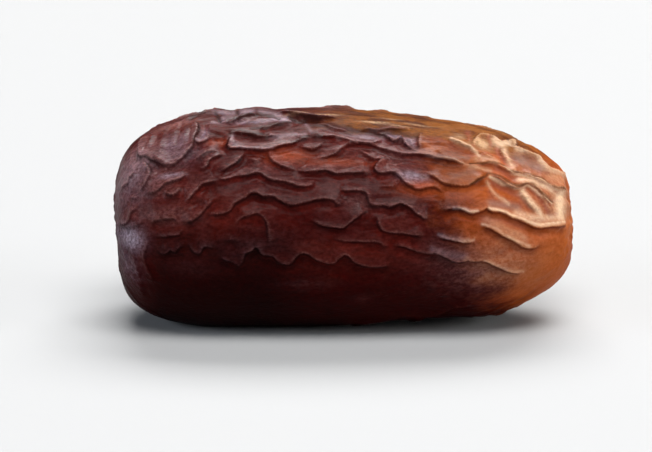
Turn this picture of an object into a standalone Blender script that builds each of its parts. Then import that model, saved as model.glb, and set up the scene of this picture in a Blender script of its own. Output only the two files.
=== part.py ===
"""An anbara date, ripe and whole, lying on its side: one solid whose skin has shrunk into pleats.

Lengths are in millimetres until the last step, which scales the finished shape to metres. The long axis is
X, with the dark blunt tip at -X and the paler stem end at +X. Up is +Z, and the side that faces -Y is called
the near side.
"""

import math

import bmesh
import bpy
import numpy as np
from mathutils import Vector
from mathutils.bvhtree import BVHTree

NAME = "date_fruit"
COLLECTION = "anbara_date"
METRES = 0.001  # metres in a millimetre

# Driving dimensions
DEPTH_SHARE = 1.03  # width front to back, as a share of the height at the same place
PLEAT_INSET = 0.12  # the pleats' mean height, by which the smooth body under them is smaller
REST_CUT = 0.4  # the underside is pressed flat at this height in the outline
REST_FADE = 1.4  # the pleats fade out over this height above the spot that the fruit lies on
VIEW_ELEVATION = math.radians(15.0)  # the near side's pleats are placed as seen from this far up
AXIS_HEIGHT = 12.5

# Pleats
RISER_WIDTH = 0.32  # below its lip a pleat falls away over about this distance
SCOOP = 0.35  # above its lip a pleat falls by this share of its height
SCOOP_WIDTH = 0.4  # over about this distance
REACH_SPAN = 2.7  # and the rest of it ends at this multiple of its reach
FALL_POWER = 1.7
TROUGH_PLACE = 0.8  # from the lip to the bottom of the trough below it
TROUGH_WIDTH = 0.45
TROUGH_SHARE = 0.35  # the trough's depth as a share of the pleat's height
TAPER = 1.5  # a pleat rises from nothing over this length at each end
PATH_STEP = 0.2

# Pleats of the far side, top and underside, which wander by a rule
FAR_SEED = 11
FAR_TRIES = 1500
FAR_SPACING = 1.7
FAR_STOP = 0.8
FAR_LENGTHS = (4.0, 18.0)
FAR_HEIGHTS = (0.2, 0.5)
FAR_WAVES = ((0.9, 0.3), (1.8, 0.6))  # the least and most radians per millimetre of a path's two waves
FAR_BENDS = (0.4, 0.3)  # how far the waves turn the path, in radians
FAR_SLOPE = 0.2  # the spread of the paths' turn away from the long axis
FAR_REACH = 2.1  # a pleat's reach as a multiple of its height
FAR_END = 21.0  # beyond this place along the fruit they are lower
FAR_END_SHARE = 0.4
FAR_FACING = 0.1  # they start where the surface faces the near side's view by less than this

# Creases between the pleats: lines round the section, height, how far they stray in lines, share of the skin
# that has them, and the seed
CREASES = (
    (40, 0.16, 2.6, 0.55, 21),
)
CREASE_END = 22.0  # they end this far along the fruit, on both sides of its middle
CREASE_FADE = 6.0  # and fade over this length
CREASE_NEAR_SHARE = 0.05  # how much of the creases the near side has, between its own pleats
CREASE_DROP = 0.16  # a crease falls away over this share of its line's width

# Scars of the stem and of the flower: side of the fruit, height of the middle, depth and radius of the hollow,
# height and radius of the rim, and number of puckers round it
SCARS = (
    (1.0, 13.5, 0.90, 1.2, 0.30, 2.2, 11),
    (-1.0, 12.6, 0.35, 0.7, 0.10, 1.4, 8),
)
RIM_SPREAD = 0.35  # the width of the rim as a share of its radius
PUCKER_HEIGHT = 0.12
PUCKER_PLACE = 1.6  # the puckers are strongest at this multiple of the rim's radius
PUCKER_SPREAD = 0.6
SCAR_SPAN = 8.0  # they are kept within this distance of the end of the fruit

# Mesh
SPHERE_ROUND = 96
SPHERE_LENGTH = 64
HALVINGS = 2  # how often each side of the sphere's faces is halved
KEPT_TRIANGLES = 10200
SNAP = 0.001  # points this close to the cut are taken as on it

# Side outline from the tip to the stem end, along the fruit and above the surface that it lies on
TIP = (-25.85, 12.6)
STEM = (25.4, 13.5)
UPPER_OUTLINE = (
    TIP, (-25.95, 15.6), (-25.2, 19.0), (-23.2, 21.6), (-19.8, 23.3), (-15.5, 24.45), (-9.0, 24.7),
    (-3.0, 24.9), (3.0, 24.55), (9.0, 23.85), (14.5, 22.95), (19.0, 21.6), (22.6, 19.7), (24.95, 17.5), STEM,
)
LOWER_OUTLINE = (
    TIP, (-25.6, 8.6), (-25.3, 5.4), (-24.1, 2.8), (-21.2, 0.95), (-16.8, -0.1), (-11.0, -0.2),
    (-4.5, -0.15), (1.0, 0.05), (6.0, 0.5), (11.5, 0.85), (16.2, 1.0), (20.3, 2.35), (23.9, 4.6), (25.7, 7.0),
    (25.9, 9.6), STEM,
)

# Pleats of the near side: height, reach over the raised skin, and places along the lip, as seen in the view:
# along the fruit and up the view, with 0 at the surface that it lies on. The raised skin is on the left of the
# way they run.
NEAR_PLEATS = (
    # Round the tip
    (0.35, 0.8, ((-25.3, 15.1), (-25.0, 15.6), (-24.4, 16.1), (-24.1, 16.8), (-23.6, 17.4),
                 (-23.6, 18.2))),
    (0.40, 0.8, ((-23.3, 14.7), (-22.7, 15.7), (-22.3, 16.3), (-21.9, 17.3), (-22.1, 17.9),
                 (-22.9, 18.8))),
    (0.20, 0.5, ((-24.1, 14.9), (-23.8, 14.6), (-23.4, 14.6), (-23.1, 15.0))),
    (0.35, 0.8, ((-25.3, 12.0), (-24.8, 11.7), (-24.2, 11.9), (-23.8, 13.1), (-23.3, 13.5),
                 (-22.9, 14.0))),
    (0.20, 0.6, ((-25.7, 11.6), (-24.8, 11.4), (-23.2, 11.6), (-22.6, 11.9), (-22.0, 12.1))),
    (0.35, 1.0, ((-21.2, 4.8), (-21.6, 5.6), (-22.4, 7.3), (-22.6, 8.3), (-22.3, 9.3), (-22.0, 10.1))),
    (0.20, 0.7, ((-22.7, 3.1), (-22.9, 4.2), (-22.9, 5.5), (-23.3, 6.8), (-23.6, 8.0), (-23.6, 9.5))),
    (0.15, 0.5, ((-24.5, 7.2), (-24.7, 8.2), (-24.7, 9.3))),
    (0.30, 0.6, ((-21.7, 11.0), (-21.5, 11.9), (-20.9, 12.2), (-20.0, 12.35), (-19.0, 12.2),
                 (-18.6, 11.9))),
    (0.35, 0.6, ((-21.6, 10.3), (-21.0, 10.2), (-19.4, 10.4), (-18.7, 10.5), (-17.9, 11.5))),
    # Upper left
    (0.50, 1.2, ((-22.3, 21.7), (-22.8, 20.9), (-23.0, 20.0), (-22.8, 19.3), (-22.0, 19.2), (-21.3, 18.8),
                 (-20.2, 18.2), (-19.3, 18.3), (-18.4, 18.8), (-17.7, 19.6), (-17.15, 20.4),
                 (-16.9, 21.2), (-16.6, 22.2), (-16.6, 23.2))),
    (0.12, 0.4, ((-22.2, 19.7), (-22.0, 20.8), (-21.5, 22.0))),
    (0.12, 0.4, ((-20.7, 19.5), (-20.6, 20.8), (-20.3, 22.0), (-20.0, 22.8))),
    (0.14, 0.4, ((-19.2, 19.5), (-19.1, 21.0), (-19.2, 22.5))),
    (0.12, 0.4, ((-18.1, 20.0), (-18.0, 21.5), (-17.7, 22.8))),
    (0.20, 0.5, ((-21.6, 19.1), (-21.0, 19.0), (-20.6, 18.65), (-20.1, 18.5), (-19.6, 18.65))),
    (0.40, 0.8, ((-16.7, 21.6), (-16.6, 21.0), (-16.1, 20.75), (-15.6, 20.9), (-15.3, 21.4),
                 (-15.1, 22.0))),
    (0.35, 0.8, ((-16.6, 18.1), (-15.9, 17.9), (-15.5, 18.2), (-15.2, 18.7), (-13.9, 19.3),
                 (-13.2, 19.9))),
    (0.25, 0.6, ((-17.2, 18.4), (-16.3, 19.1), (-15.6, 19.5), (-14.9, 19.7), (-13.6, 19.7))),
    (0.45, 1.0, ((-22.5, 15.4), (-21.8, 15.2), (-21.1, 15.3), (-20.0, 16.2), (-19.2, 16.5), (-18.4, 16.8),
                 (-17.4, 17.7))),
    (0.35, 0.7, ((-20.4, 15.4), (-19.9, 15.1), (-19.4, 14.9), (-18.9, 15.1), (-18.3, 16.2))),
    (0.40, 1.0, ((-18.2, 14.3), (-17.5, 14.4), (-17.0, 14.9), (-16.0, 16.1), (-15.2, 16.3), (-14.4, 16.5),
                 (-14.0, 16.9))),
    (0.50, 1.1, ((-18.3, 11.7), (-17.6, 11.9), (-17.0, 12.1), (-16.3, 12.6), (-15.3, 13.7),
                 (-14.4, 14.8))),
    (0.40, 0.9, ((-14.2, 17.2), (-13.6, 17.7), (-12.9, 18.1), (-12.2, 18.5), (-11.7, 19.0),
                 (-11.0, 19.9))),
    (0.20, 0.5, ((-11.0, 19.2), (-10.4, 18.8), (-9.8, 18.75), (-9.4, 19.1), (-9.2, 19.6))),
    # Tongues of the lower left
    (0.35, 0.9, ((-21.2, 9.0), (-20.7, 8.6), (-20.3, 8.4), (-19.9, 8.6), (-19.4, 8.8), (-19.0, 8.6),
                 (-18.6, 9.0), (-17.7, 9.8))),
    (0.35, 0.9, ((-17.7, 9.8), (-17.0, 8.8), (-16.6, 8.5), (-16.3, 8.4), (-16.0, 8.9), (-15.5, 9.2),
                 (-14.8, 9.0), (-14.2, 9.1))),
    (0.40, 1.0, ((-14.5, 7.9), (-13.2, 7.7), (-12.2, 7.2), (-11.8, 7.1), (-11.1, 8.4), (-10.4, 8.8),
                 (-9.9, 9.2), (-9.5, 9.0), (-9.2, 8.4), (-7.9, 8.1), (-7.4, 7.6), (-6.8, 7.3),
                 (-6.1, 7.4), (-5.0, 8.3), (-4.4, 8.5), (-3.7, 8.3), (-3.2, 7.8), (-2.6, 7.5),
                 (-1.2, 7.3), (-0.7, 7.7), (-0.2, 8.1), (0.4, 8.2), (0.9, 7.9), (1.3, 7.5), (2.8, 7.0),
                 (4.6, 7.0), (5.6, 6.8))),
    (0.30, 0.8, ((-12.3, 11.0), (-12.0, 12.0), (-11.4, 12.5), (-10.5, 12.7), (-9.6, 12.8), (-9.0, 12.4),
                 (-8.6, 11.8), (-8.4, 11.1), (-8.4, 10.2), (-8.4, 9.0))),
    (0.15, 0.5, ((-13.2, 10.2), (-12.4, 9.9), (-11.5, 9.7))),
    # Middle
    (0.50, 1.2, ((-15.6, 12.8), (-13.6, 12.9), (-12.9, 13.2), (-12.4, 13.9), (-11.0, 14.7), (-10.4, 15.1),
                 (-9.8, 15.1), (-9.2, 14.8), (-7.7, 14.7), (-7.3, 14.3), (-6.6, 14.0), (-5.8, 13.85),
                 (-4.2, 14.1), (-2.3, 14.5), (-1.2, 14.4), (-0.5, 13.9), (0.2, 13.8))),
    (0.45, 1.1, ((-4.0, 12.2), (-2.4, 11.6), (-0.8, 11.4), (-0.1, 11.4), (0.5, 11.9), (1.8, 12.7),
                 (3.1, 13.4))),
    (0.45, 1.0, ((-0.8, 15.4), (0.8, 15.4), (2.5, 15.2), (2.8, 14.8), (3.1, 14.1), (3.5, 13.8),
                 (4.6, 13.7), (5.2, 13.6), (6.2, 14.0), (6.8, 13.9), (7.4, 13.6), (9.1, 12.3),
                 (9.8, 12.3))),
    (0.40, 0.9, ((3.4, 12.8), (3.9, 12.3), (4.1, 11.6), (4.4, 11.1), (4.9, 10.8), (6.6, 10.7),
                 (7.4, 10.5), (9.4, 10.4))),
    (0.45, 0.8, ((10.2, 10.5), (10.8, 10.2), (12.2, 9.85), (13.8, 9.6), (14.5, 9.7), (14.9, 10.1))),
    (0.30, 0.8, ((-1.5, 10.0), (0.4, 9.8), (2.0, 9.7), (3.9, 9.6), (4.5, 9.3), (5.2, 9.3))),
    (0.40, 1.0, ((5.3, 9.3), (7.0, 9.1), (8.6, 8.5), (9.4, 8.3), (10.3, 8.4), (11.0, 8.3), (12.3, 7.6),
                 (13.2, 7.5), (14.0, 7.6), (14.7, 7.5), (15.4, 7.6), (16.2, 7.4), (18.0, 6.6),
                 (20.2, 6.0))),
    (0.35, 0.9, ((-14.2, 17.3), (-14.0, 16.8), (-12.4, 16.9), (-10.9, 17.15), (-10.2, 17.35),
                 (-9.5, 17.35), (-8.3, 16.7), (-6.8, 16.4), (-5.2, 15.95), (-4.4, 15.9), (-3.7, 16.1),
                 (-3.1, 17.0))),
    (0.35, 1.0, ((-8.0, 20.0), (-8.3, 19.6), (-8.1, 19.0), (-7.5, 18.4), (-6.8, 18.1), (-5.2, 17.5))),
    (0.40, 0.8, ((-5.2, 18.0), (-5.1, 17.6), (-4.2, 17.5), (-2.0, 17.6), (-0.3, 17.3), (1.3, 17.4),
                 (2.8, 17.4), (3.4, 17.6))),
    (0.20, 0.6, ((3.5, 15.9), (4.6, 15.9), (5.5, 15.9), (6.1, 16.3), (6.2, 16.9))),
    (0.55, 1.1, ((5.1, 19.1), (4.4, 18.7), (3.8, 18.2), (3.6, 17.7), (4.0, 17.3), (5.5, 17.4),
                 (6.1, 17.2), (6.9, 16.3), (7.5, 15.9), (8.3, 15.6), (9.2, 15.75), (10.0, 15.7),
                 (10.6, 15.6), (11.5, 14.9))),
    # Upper rows
    (0.50, 1.0, ((-12.7, 21.7), (-12.8, 21.1), (-13.05, 20.5), (-12.8, 20.1), (-11.5, 20.1), (-9.0, 19.9),
                 (-8.2, 19.9), (-6.9, 20.35), (-6.1, 20.5), (-5.4, 20.85), (-4.2, 21.4), (-4.1, 21.8))),
    (0.45, 0.7, ((-13.2, 21.7), (-12.5, 21.9), (-10.9, 21.8), (-9.3, 21.5), (-8.4, 21.5), (-6.9, 21.7))),
    (0.45, 0.7, ((-10.4, 22.3), (-8.8, 22.4), (-7.4, 22.8), (-6.7, 22.95), (-6.2, 23.2), (-6.0, 23.6))),
    (0.50, 0.6, ((-14.0, 23.2), (-13.4, 23.1), (-12.2, 23.35), (-11.6, 23.7), (-10.1, 23.95),
                 (-9.3, 24.0))),
    (0.50, 0.6, ((-8.0, 24.2), (-5.0, 23.95), (-2.8, 23.6), (-1.8, 23.55), (-0.7, 23.7))),
    (0.30, 0.6, ((-5.2, 20.8), (-4.7, 20.4), (-4.0, 20.15), (-3.3, 20.05), (-2.8, 20.3), (-2.1, 21.2))),
    (0.30, 0.7, ((-3.6, 19.1), (-2.6, 19.05), (-1.7, 19.2), (-1.0, 19.5), (-0.6, 20.0), (0.5, 20.6),
                 (1.9, 20.4))),
    (0.40, 0.8, ((-4.2, 21.5), (-1.6, 21.4), (-0.2, 21.2), (1.7, 20.55), (2.8, 20.5), (4.8, 19.9),
                 (6.6, 19.4), (9.4, 19.3), (11.4, 18.9), (14.0, 18.3))),
    (0.30, 0.6, ((1.2, 20.1), (1.8, 19.9), (3.1, 19.2), (3.9, 19.0), (4.5, 19.2), (4.9, 19.6))),
    (0.20, 0.4, ((-3.0, 23.0), (-2.0, 22.8), (-1.2, 22.5), (-0.4, 22.2), (1.1, 22.1))),
    (0.25, 0.6, ((1.5, 22.5), (3.4, 22.2), (5.4, 22.4), (7.0, 22.3), (8.0, 22.2))),
    (0.35, 0.6, ((3.5, 22.2), (4.2, 21.9), (4.8, 21.65), (5.2, 21.25), (5.5, 21.05), (5.9, 21.2),
                 (6.8, 21.8))),
    (0.30, 0.7, ((0.8, 21.2), (1.4, 20.9), (2.0, 20.6), (2.8, 20.6), (3.6, 20.75), (4.6, 21.35))),
    (0.35, 0.5, ((6.7, 21.7), (6.7, 21.1), (7.0, 20.6), (7.5, 20.1), (8.6, 19.5))),
    (0.35, 0.5, ((9.0, 21.9), (8.6, 21.5), (8.5, 20.9), (8.7, 20.3), (9.0, 19.8))),
    # Right
    (0.45, 1.0, ((9.0, 17.6), (9.8, 17.1), (11.1, 16.2), (11.9, 16.1), (13.6, 15.95), (14.2, 16.1),
                 (14.8, 16.6), (16.1, 17.2))),
    (0.35, 0.7, ((16.1, 17.2), (16.8, 17.05), (19.2, 15.95), (20.0, 16.0), (20.8, 16.1), (21.5, 15.8),
                 (22.1, 15.3), (23.1, 14.2), (23.6, 14.1))),
    (0.30, 0.7, ((14.7, 18.2), (15.3, 18.5), (17.0, 18.35), (18.5, 17.6), (20.3, 17.3), (22.0, 16.6),
                 (23.7, 15.9), (25.2, 15.5))),
    (0.15, 0.4, ((15.1, 19.5), (15.6, 19.5), (16.7, 19.0), (17.3, 18.9))),
    (0.30, 0.6, ((11.2, 21.3), (12.0, 21.25), (13.2, 20.7), (14.3, 20.2), (14.6, 19.8), (15.0, 19.3))),
    (0.35, 0.8, ((25.1, 17.2), (24.3, 17.4), (23.4, 17.7), (22.7, 18.3), (22.1, 19.0), (21.2, 19.4),
                 (19.5, 20.2), (19.2, 20.9), (18.6, 20.8), (17.7, 20.8), (16.9, 21.3), (16.0, 21.6),
                 (15.2, 21.4), (14.7, 20.6), (14.8, 20.0))),
    (0.20, 0.6, ((17.6, 20.5), (18.0, 19.6), (18.5, 18.8), (19.0, 18.1))),
    (0.25, 0.8, ((19.8, 15.8), (20.3, 14.9), (20.8, 14.1), (21.5, 13.1), (22.0, 12.4))),
    (0.20, 0.6, ((23.6, 12.5), (23.1, 13.5), (22.6, 14.3), (22.0, 15.0))),
    (0.12, 0.4, ((10.3, 20.0), (11.0, 19.6), (11.6, 19.3), (12.1, 19.0))),
    (0.50, 1.0, ((10.4, 13.6), (11.0, 13.3), (12.9, 13.4), (14.3, 12.85), (15.0, 12.9), (16.1, 13.4),
                 (16.7, 13.1), (17.5, 13.0), (19.3, 12.3), (20.9, 11.6), (21.6, 11.35), (22.3, 11.35),
                 (25.2, 11.6))),
    (0.40, 0.9, ((15.0, 11.7), (16.6, 11.1), (18.0, 10.3), (19.6, 9.5), (20.2, 9.1), (20.9, 9.0),
                 (22.4, 9.4))),
    # Low on the right, where the skin is tight
    (0.15, 0.5, ((2.8, 4.0), (3.8, 3.9), (4.6, 3.7))),
    (0.15, 0.5, ((5.0, 4.0), (6.0, 4.2), (6.8, 4.1), (7.0, 3.7))),
    (0.15, 0.5, ((9.0, 4.2), (10.0, 4.4), (11.2, 4.6), (12.3, 4.5))),
    (0.15, 0.5, ((10.5, 3.4), (12.0, 3.8))),
)

# Hollows of the near side, seen in the same view: depth, half width along the fruit, half width across, and
# the middle
NEAR_HOLLOWS = (
    (0.50, 0.8, 0.6, (-16.4, 13.8)),
    (0.40, 1.6, 0.8, (-20.0, 11.4)),
    (0.35, 1.8, 1.5, (18.3, 15.0)),
    (0.30, 1.8, 0.5, (-4.4, 23.3)),
    (0.40, 0.4, 0.5, (19.1, 20.5)),
    (0.30, 1.2, 0.6, (-10.6, 21.0)),
    (0.30, 1.0, 0.8, (13.0, 19.8)),
)


def clear_scene():
    for obj in list(bpy.data.objects):
        bpy.data.objects.remove(obj, do_unlink=True)


def smooth_curve(points, steps=16):
    """A curve through the points, without loops between points that are close together."""
    points = np.array(points, dtype=float)
    before = 2 * points[0] - points[1]
    after = 2 * points[-1] - points[-2]
    points = np.vstack([before, points, after])
    knots = np.concatenate([[0.0], np.cumsum(np.sqrt(np.linalg.norm(np.diff(points, axis=0), axis=1)))])
    curve = []
    for i in range(1, len(points) - 2):
        p0, p1, p2, p3 = points[i - 1 : i + 3]
        t0, t1, t2, t3 = knots[i - 1 : i + 3]
        t = np.linspace(t1, t2, steps, endpoint=False)[:, None]
        a1 = (t1 - t) / (t1 - t0) * p0 + (t - t0) / (t1 - t0) * p1
        a2 = (t2 - t) / (t2 - t1) * p1 + (t - t1) / (t2 - t1) * p2
        a3 = (t3 - t) / (t3 - t2) * p2 + (t - t2) / (t3 - t2) * p3
        b1 = (t2 - t) / (t2 - t0) * a1 + (t - t0) / (t2 - t0) * a2
        b2 = (t3 - t) / (t3 - t1) * a2 + (t - t1) / (t3 - t1) * a3
        curve.extend((t2 - t) / (t2 - t1) * b1 + (t - t1) / (t2 - t1) * b2)
    curve.append(points[-2])
    return np.array(curve)


def even_curve(curve, count):
    """The curve at evenly spaced places along its length."""
    lengths = np.concatenate([[0.0], np.cumsum(np.linalg.norm(np.diff(curve, axis=0), axis=1))])
    places = np.linspace(0.0, lengths[-1], count)
    return np.column_stack([np.interp(places, lengths, column) for column in curve.T])


def smooth_step(value):
    value = np.clip(value, 0.0, 1.0)
    return value * value * (3.0 - 2.0 * value)


class SmoothBody:
    """The fruit without its pleats: rings that lean with the outline, each an ellipse."""

    def __init__(self):
        count = 400
        self.shares = np.linspace(0.0, 1.0, count)
        self.upper = even_curve(smooth_curve(UPPER_OUTLINE), count)
        self.lower = even_curve(smooth_curve(LOWER_OUTLINE), count)
        middle = (self.upper + self.lower) / 2
        reach = np.linalg.norm(self.upper - self.lower, axis=1) / 2
        inset = 1.0 - PLEAT_INSET / np.maximum(reach, 1.0)
        self.upper = middle + (self.upper - middle) * inset[:, None]
        self.lower = middle + (self.lower - middle) * inset[:, None]

    def points(self, share, angle):
        """Places on the body. The share runs from tip to stem end, and the angle from near side over the top."""
        upper = np.column_stack([np.interp(share, self.shares, column) for column in self.upper.T])
        lower = np.column_stack([np.interp(share, self.shares, column) for column in self.lower.T])
        middle = (upper + lower) / 2
        half = (upper - lower) / 2
        width = np.linalg.norm(half, axis=1) * DEPTH_SHARE
        side = middle + half * np.sin(angle)[:, None]
        return np.column_stack([side[:, 0], -width * np.cos(angle), side[:, 1]])


def with_modifier(obj, kind, **settings):
    """The object's mesh is replaced by what the modifier makes of it."""
    modifier = obj.modifiers.new(kind, kind)
    for name, value in settings.items():
        setattr(modifier, name, value)
    made = bpy.data.meshes.new_from_object(obj.evaluated_get(bpy.context.evaluated_depsgraph_get()))
    obj.modifiers.clear()
    old = obj.data
    obj.data = made
    bpy.data.meshes.remove(old)
    made.name = obj.name


def body_object(body, collection):
    """A sphere whose poles are the tip and the stem end, drawn out into the smooth body."""
    mesh = bpy.data.meshes.new(NAME)
    bm = bmesh.new()
    bmesh.ops.create_uvsphere(bm, u_segments=SPHERE_ROUND, v_segments=SPHERE_LENGTH, radius=1.0)
    bm.to_mesh(mesh)
    bm.free()
    obj = bpy.data.objects.new(NAME, mesh)
    collection.objects.link(obj)
    with_modifier(obj, "SUBSURF", subdivision_type="SIMPLE", levels=HALVINGS, render_levels=HALVINGS)
    places = mesh_points(obj.data)
    places /= np.linalg.norm(places, axis=1)[:, None]
    share = np.arccos(np.clip(places[:, 2], -1.0, 1.0)) / math.pi
    angle = np.arctan2(places[:, 1], places[:, 0])
    set_mesh_points(obj.data, body.points(share, angle))
    return obj, angle


def mesh_points(mesh):
    values = np.empty(len(mesh.vertices) * 3)
    mesh.vertices.foreach_get("co", values)
    return values.reshape(-1, 3)


def set_mesh_points(mesh, points):
    mesh.vertices.foreach_set("co", points.ravel())
    mesh.update()


def mesh_normals(mesh):
    values = np.empty(len(mesh.vertices) * 3)
    mesh.vertex_normals.foreach_get("vector", values)
    return values.reshape(-1, 3)


def mesh_tree(mesh):
    corners = [vertex.co.copy() for vertex in mesh.vertices]
    faces = [tuple(face.vertices) for face in mesh.polygons]
    return BVHTree.FromPolygons(corners, faces)


class NearView:
    """The long-lens view of the near side, through which its pleats are laid on the body."""

    def __init__(self, tree):
        self.tree = tree
        self.along = Vector((0.0, math.cos(VIEW_ELEVATION), -math.sin(VIEW_ELEVATION)))
        self.up = Vector((0.0, math.sin(VIEW_ELEVATION), math.cos(VIEW_ELEVATION)))
        self.middle = Vector((0.0, 0.0, AXIS_HEIGHT))

    def land(self, x, z):
        """The place and normal where a line of sight meets the body, or the nearest ones if it misses."""
        aim = self.middle + Vector((x, 0.0, 0.0)) + self.up * (z - AXIS_HEIGHT)
        place, normal, _, _ = self.tree.ray_cast(aim - self.along * 100.0, self.along)
        if place is None:
            place, normal, _, _ = self.tree.find_nearest(aim)
        return place, normal


def nearest_place(points, places, stride=4):
    """The index of the place nearest to each point, found among every fourth place first."""
    coarse = places[::stride]
    apart = ((points[:, None, :] - coarse[None, :, :]) ** 2).sum(axis=2)
    first = np.argmin(apart, axis=1) * stride
    around = np.clip(first[:, None] + np.arange(1 - stride, stride), 0, len(places) - 1)
    apart = ((points[:, None, :] - places[around]) ** 2).sum(axis=2)
    return around[np.arange(len(points)), np.argmin(apart, axis=1)]


class Pleat:
    """A lip over the surface: evenly spaced places, normals, ways to the raised side, and heights."""

    def __init__(self, places, normals, height, reach):
        self.places = places
        self.normals = normals
        ways = np.gradient(places, axis=0)
        left = np.cross(normals, ways)
        self.left = left / np.maximum(np.linalg.norm(left, axis=1), 1e-9)[:, None]
        steps = np.linalg.norm(np.diff(places, axis=0), axis=1)
        run = np.concatenate([[0.0], np.cumsum(steps)])
        taper = min(TAPER, run[-1] / 2.5)
        self.heights = height * smooth_step(run / taper) * smooth_step((run[-1] - run) / taper)
        self.reach = reach


def near_pleats(view):
    pleats = []
    for height, reach, seen in NEAR_PLEATS:
        curve = smooth_curve(seen)
        length = np.linalg.norm(np.diff(curve, axis=0), axis=1).sum()
        curve = even_curve(curve, max(int(length / PATH_STEP), 4))
        landed = [view.land(x, z) for x, z in curve]
        places = np.array([place for place, _ in landed])
        normals = np.array([normal for _, normal in landed])
        pleats.append(Pleat(places, normals, height, reach))
    return pleats


def far_pleats(view, taken):
    """Pleats that wander lengthwise over the surface that the near view doesn't show."""
    rng = np.random.default_rng(FAR_SEED)
    toward_view = -np.array(view.along)
    pleats = []
    for _ in range(FAR_TRIES):
        start = Vector((rng.uniform(-25.0, 25.0), rng.uniform(-12.0, 13.0), rng.uniform(0.0, 25.0)))
        length = rng.uniform(*FAR_LENGTHS)
        height = rng.uniform(*FAR_HEIGHTS)
        phases = rng.uniform(0.0, 2 * math.pi, 2)
        waves = rng.uniform(*FAR_WAVES)
        slope = rng.normal(0.0, FAR_SLOPE)
        place, normal, _, _ = view.tree.find_nearest(start)
        places = [np.array(place)]
        normals = [np.array(normal)]
        if normals[0] @ toward_view > FAR_FACING:
            continue
        if np.linalg.norm(taken - places[0], axis=1).min() < FAR_SPACING:
            continue
        way_along = 1.0 if normals[0][1] < 0 else -1.0
        while len(places) * PATH_STEP < length:
            run = len(places) * PATH_STEP
            bend = slope
            for size, turns, phase in zip(FAR_BENDS, waves, phases):
                bend += size * math.sin(turns * run + phase)
            ahead = np.array([way_along, 0.0, 0.0])
            ahead -= normals[-1] * (ahead @ normals[-1])
            ahead /= np.linalg.norm(ahead) + 1e-9
            aside = np.cross(normals[-1], ahead)
            step = ahead * math.cos(bend) + aside * math.sin(bend)
            place, normal, _, _ = view.tree.find_nearest(Vector(places[-1] + step * PATH_STEP))
            place = np.array(place)
            if np.linalg.norm(taken - place, axis=1).min() < FAR_STOP:
                break
            places.append(place)
            normals.append(np.array(normal))
        if max(abs(places[0][0]), abs(places[-1][0])) > FAR_END:
            height *= FAR_END_SHARE
        if len(places) * PATH_STEP < FAR_LENGTHS[0] / 2:
            continue
        taken = np.vstack([taken, places])
        pleats.append(Pleat(np.array(places), np.array(normals), height, height * FAR_REACH))
    return pleats


def pleat_relief(points, pleats):
    """How far each point is raised by all the pleats."""
    relief = np.zeros(len(points))
    for pleat in pleats:
        margin = max(REACH_SPAN * pleat.reach, 1.0)
        low = pleat.places.min(axis=0) - margin
        high = pleat.places.max(axis=0) + margin
        close = np.nonzero(np.all((points > low) & (points < high), axis=1))[0]
        nearest = nearest_place(points[close], pleat.places)
        apart = points[close] - pleat.places[nearest]
        normal = pleat.normals[nearest]
        flat = apart - normal * (apart * normal).sum(axis=1)[:, None]
        side = np.where((flat * pleat.left[nearest]).sum(axis=1) >= 0.0, 1.0, -1.0)
        away = side * np.linalg.norm(flat, axis=1)
        above = np.maximum(away, 0.0)
        fall = np.clip(1.0 - above / (REACH_SPAN * pleat.reach), 0.0, 1.0) ** FALL_POWER
        scoop = 1.0 - SCOOP * (1.0 - np.exp(-above / SCOOP_WIDTH))
        rise = np.where(away > 0.0, fall * scoop, np.exp(np.minimum(away, 0.0) / RISER_WIDTH))
        trough = np.exp(-(((away + TROUGH_PLACE) / TROUGH_WIDTH) ** 2))
        relief[close] += pleat.heights[nearest] * (rise - TROUGH_SHARE * trough)
    return relief


def soft_noise(points, seed):
    """Smooth noise between about -1 and 1 at points whose whole numbers are the noise's grid."""
    rng = np.random.default_rng(seed)
    size = 32
    slopes = rng.normal(0.0, 1.0, (size, size, size, 3)).astype(np.float32)
    slopes /= np.linalg.norm(slopes, axis=3)[..., None]
    cell = np.floor(points).astype(int)
    share = (points - cell).astype(np.float32)
    eased = share**3 * (share * (share * 6.0 - 15.0) + 10.0)
    result = np.zeros(len(points), dtype=np.float32)
    for corner in range(8):
        step = np.array([corner & 1, corner >> 1 & 1, corner >> 2 & 1])
        weight = np.prod(np.where(step, eased, 1.0 - eased), axis=1)
        i, j, k = ((cell + step) % size).T
        result += weight * ((share - step) * slopes[i, j, k]).sum(axis=1)
    return 1.5 * result


def crease_relief(points, angle, facing):
    """Fine pleats in lines along the fruit, which fold over downward on both sides of the top."""
    down = np.arccos(np.clip(np.sin(angle), -1.0, 1.0)) / (2 * math.pi)
    relief = np.zeros(len(points))
    for lines, height, warp, share, seed in CREASES:
        broad = soft_noise(points * (0.10, 0.25, 0.25), seed)
        local = soft_noise(points * (0.32, 0.6, 0.6), seed + 100)
        line = lines * down + warp * (broad + 0.35 * local)
        place = line - np.floor(line)
        fall = 1.0 - smooth_step((place - 1.0 + CREASE_DROP) / CREASE_DROP)
        grown = soft_noise(points * (0.25, 0.7, 0.7), seed + 200)
        grown = smooth_step((grown + 2.0 * share - 1.0) / 0.5 + 0.5)
        ends = smooth_step((CREASE_END - np.abs(points[:, 0])) / CREASE_FADE)
        ends *= 1.0 - (1.0 - CREASE_NEAR_SHARE) * smooth_step(facing / 0.25)
        relief += height * grown * ends * (place * fall - 0.4)
    return relief


def hollow_relief(points, view):
    relief = np.zeros(len(points))
    for depth, half_along, half_across, (x, z) in NEAR_HOLLOWS:
        place, normal = view.land(x, z)
        across = np.array(normal.cross(Vector((1.0, 0.0, 0.0))).normalized())
        apart = points - np.array(place)
        along_share = apart[:, 0] / half_along
        across_share = (apart @ across) / half_across
        through = (apart @ np.array(normal)) / (half_along + half_across)
        relief -= depth * np.exp(-(along_share**2) - across_share**2 - through**2)
    return relief


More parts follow.
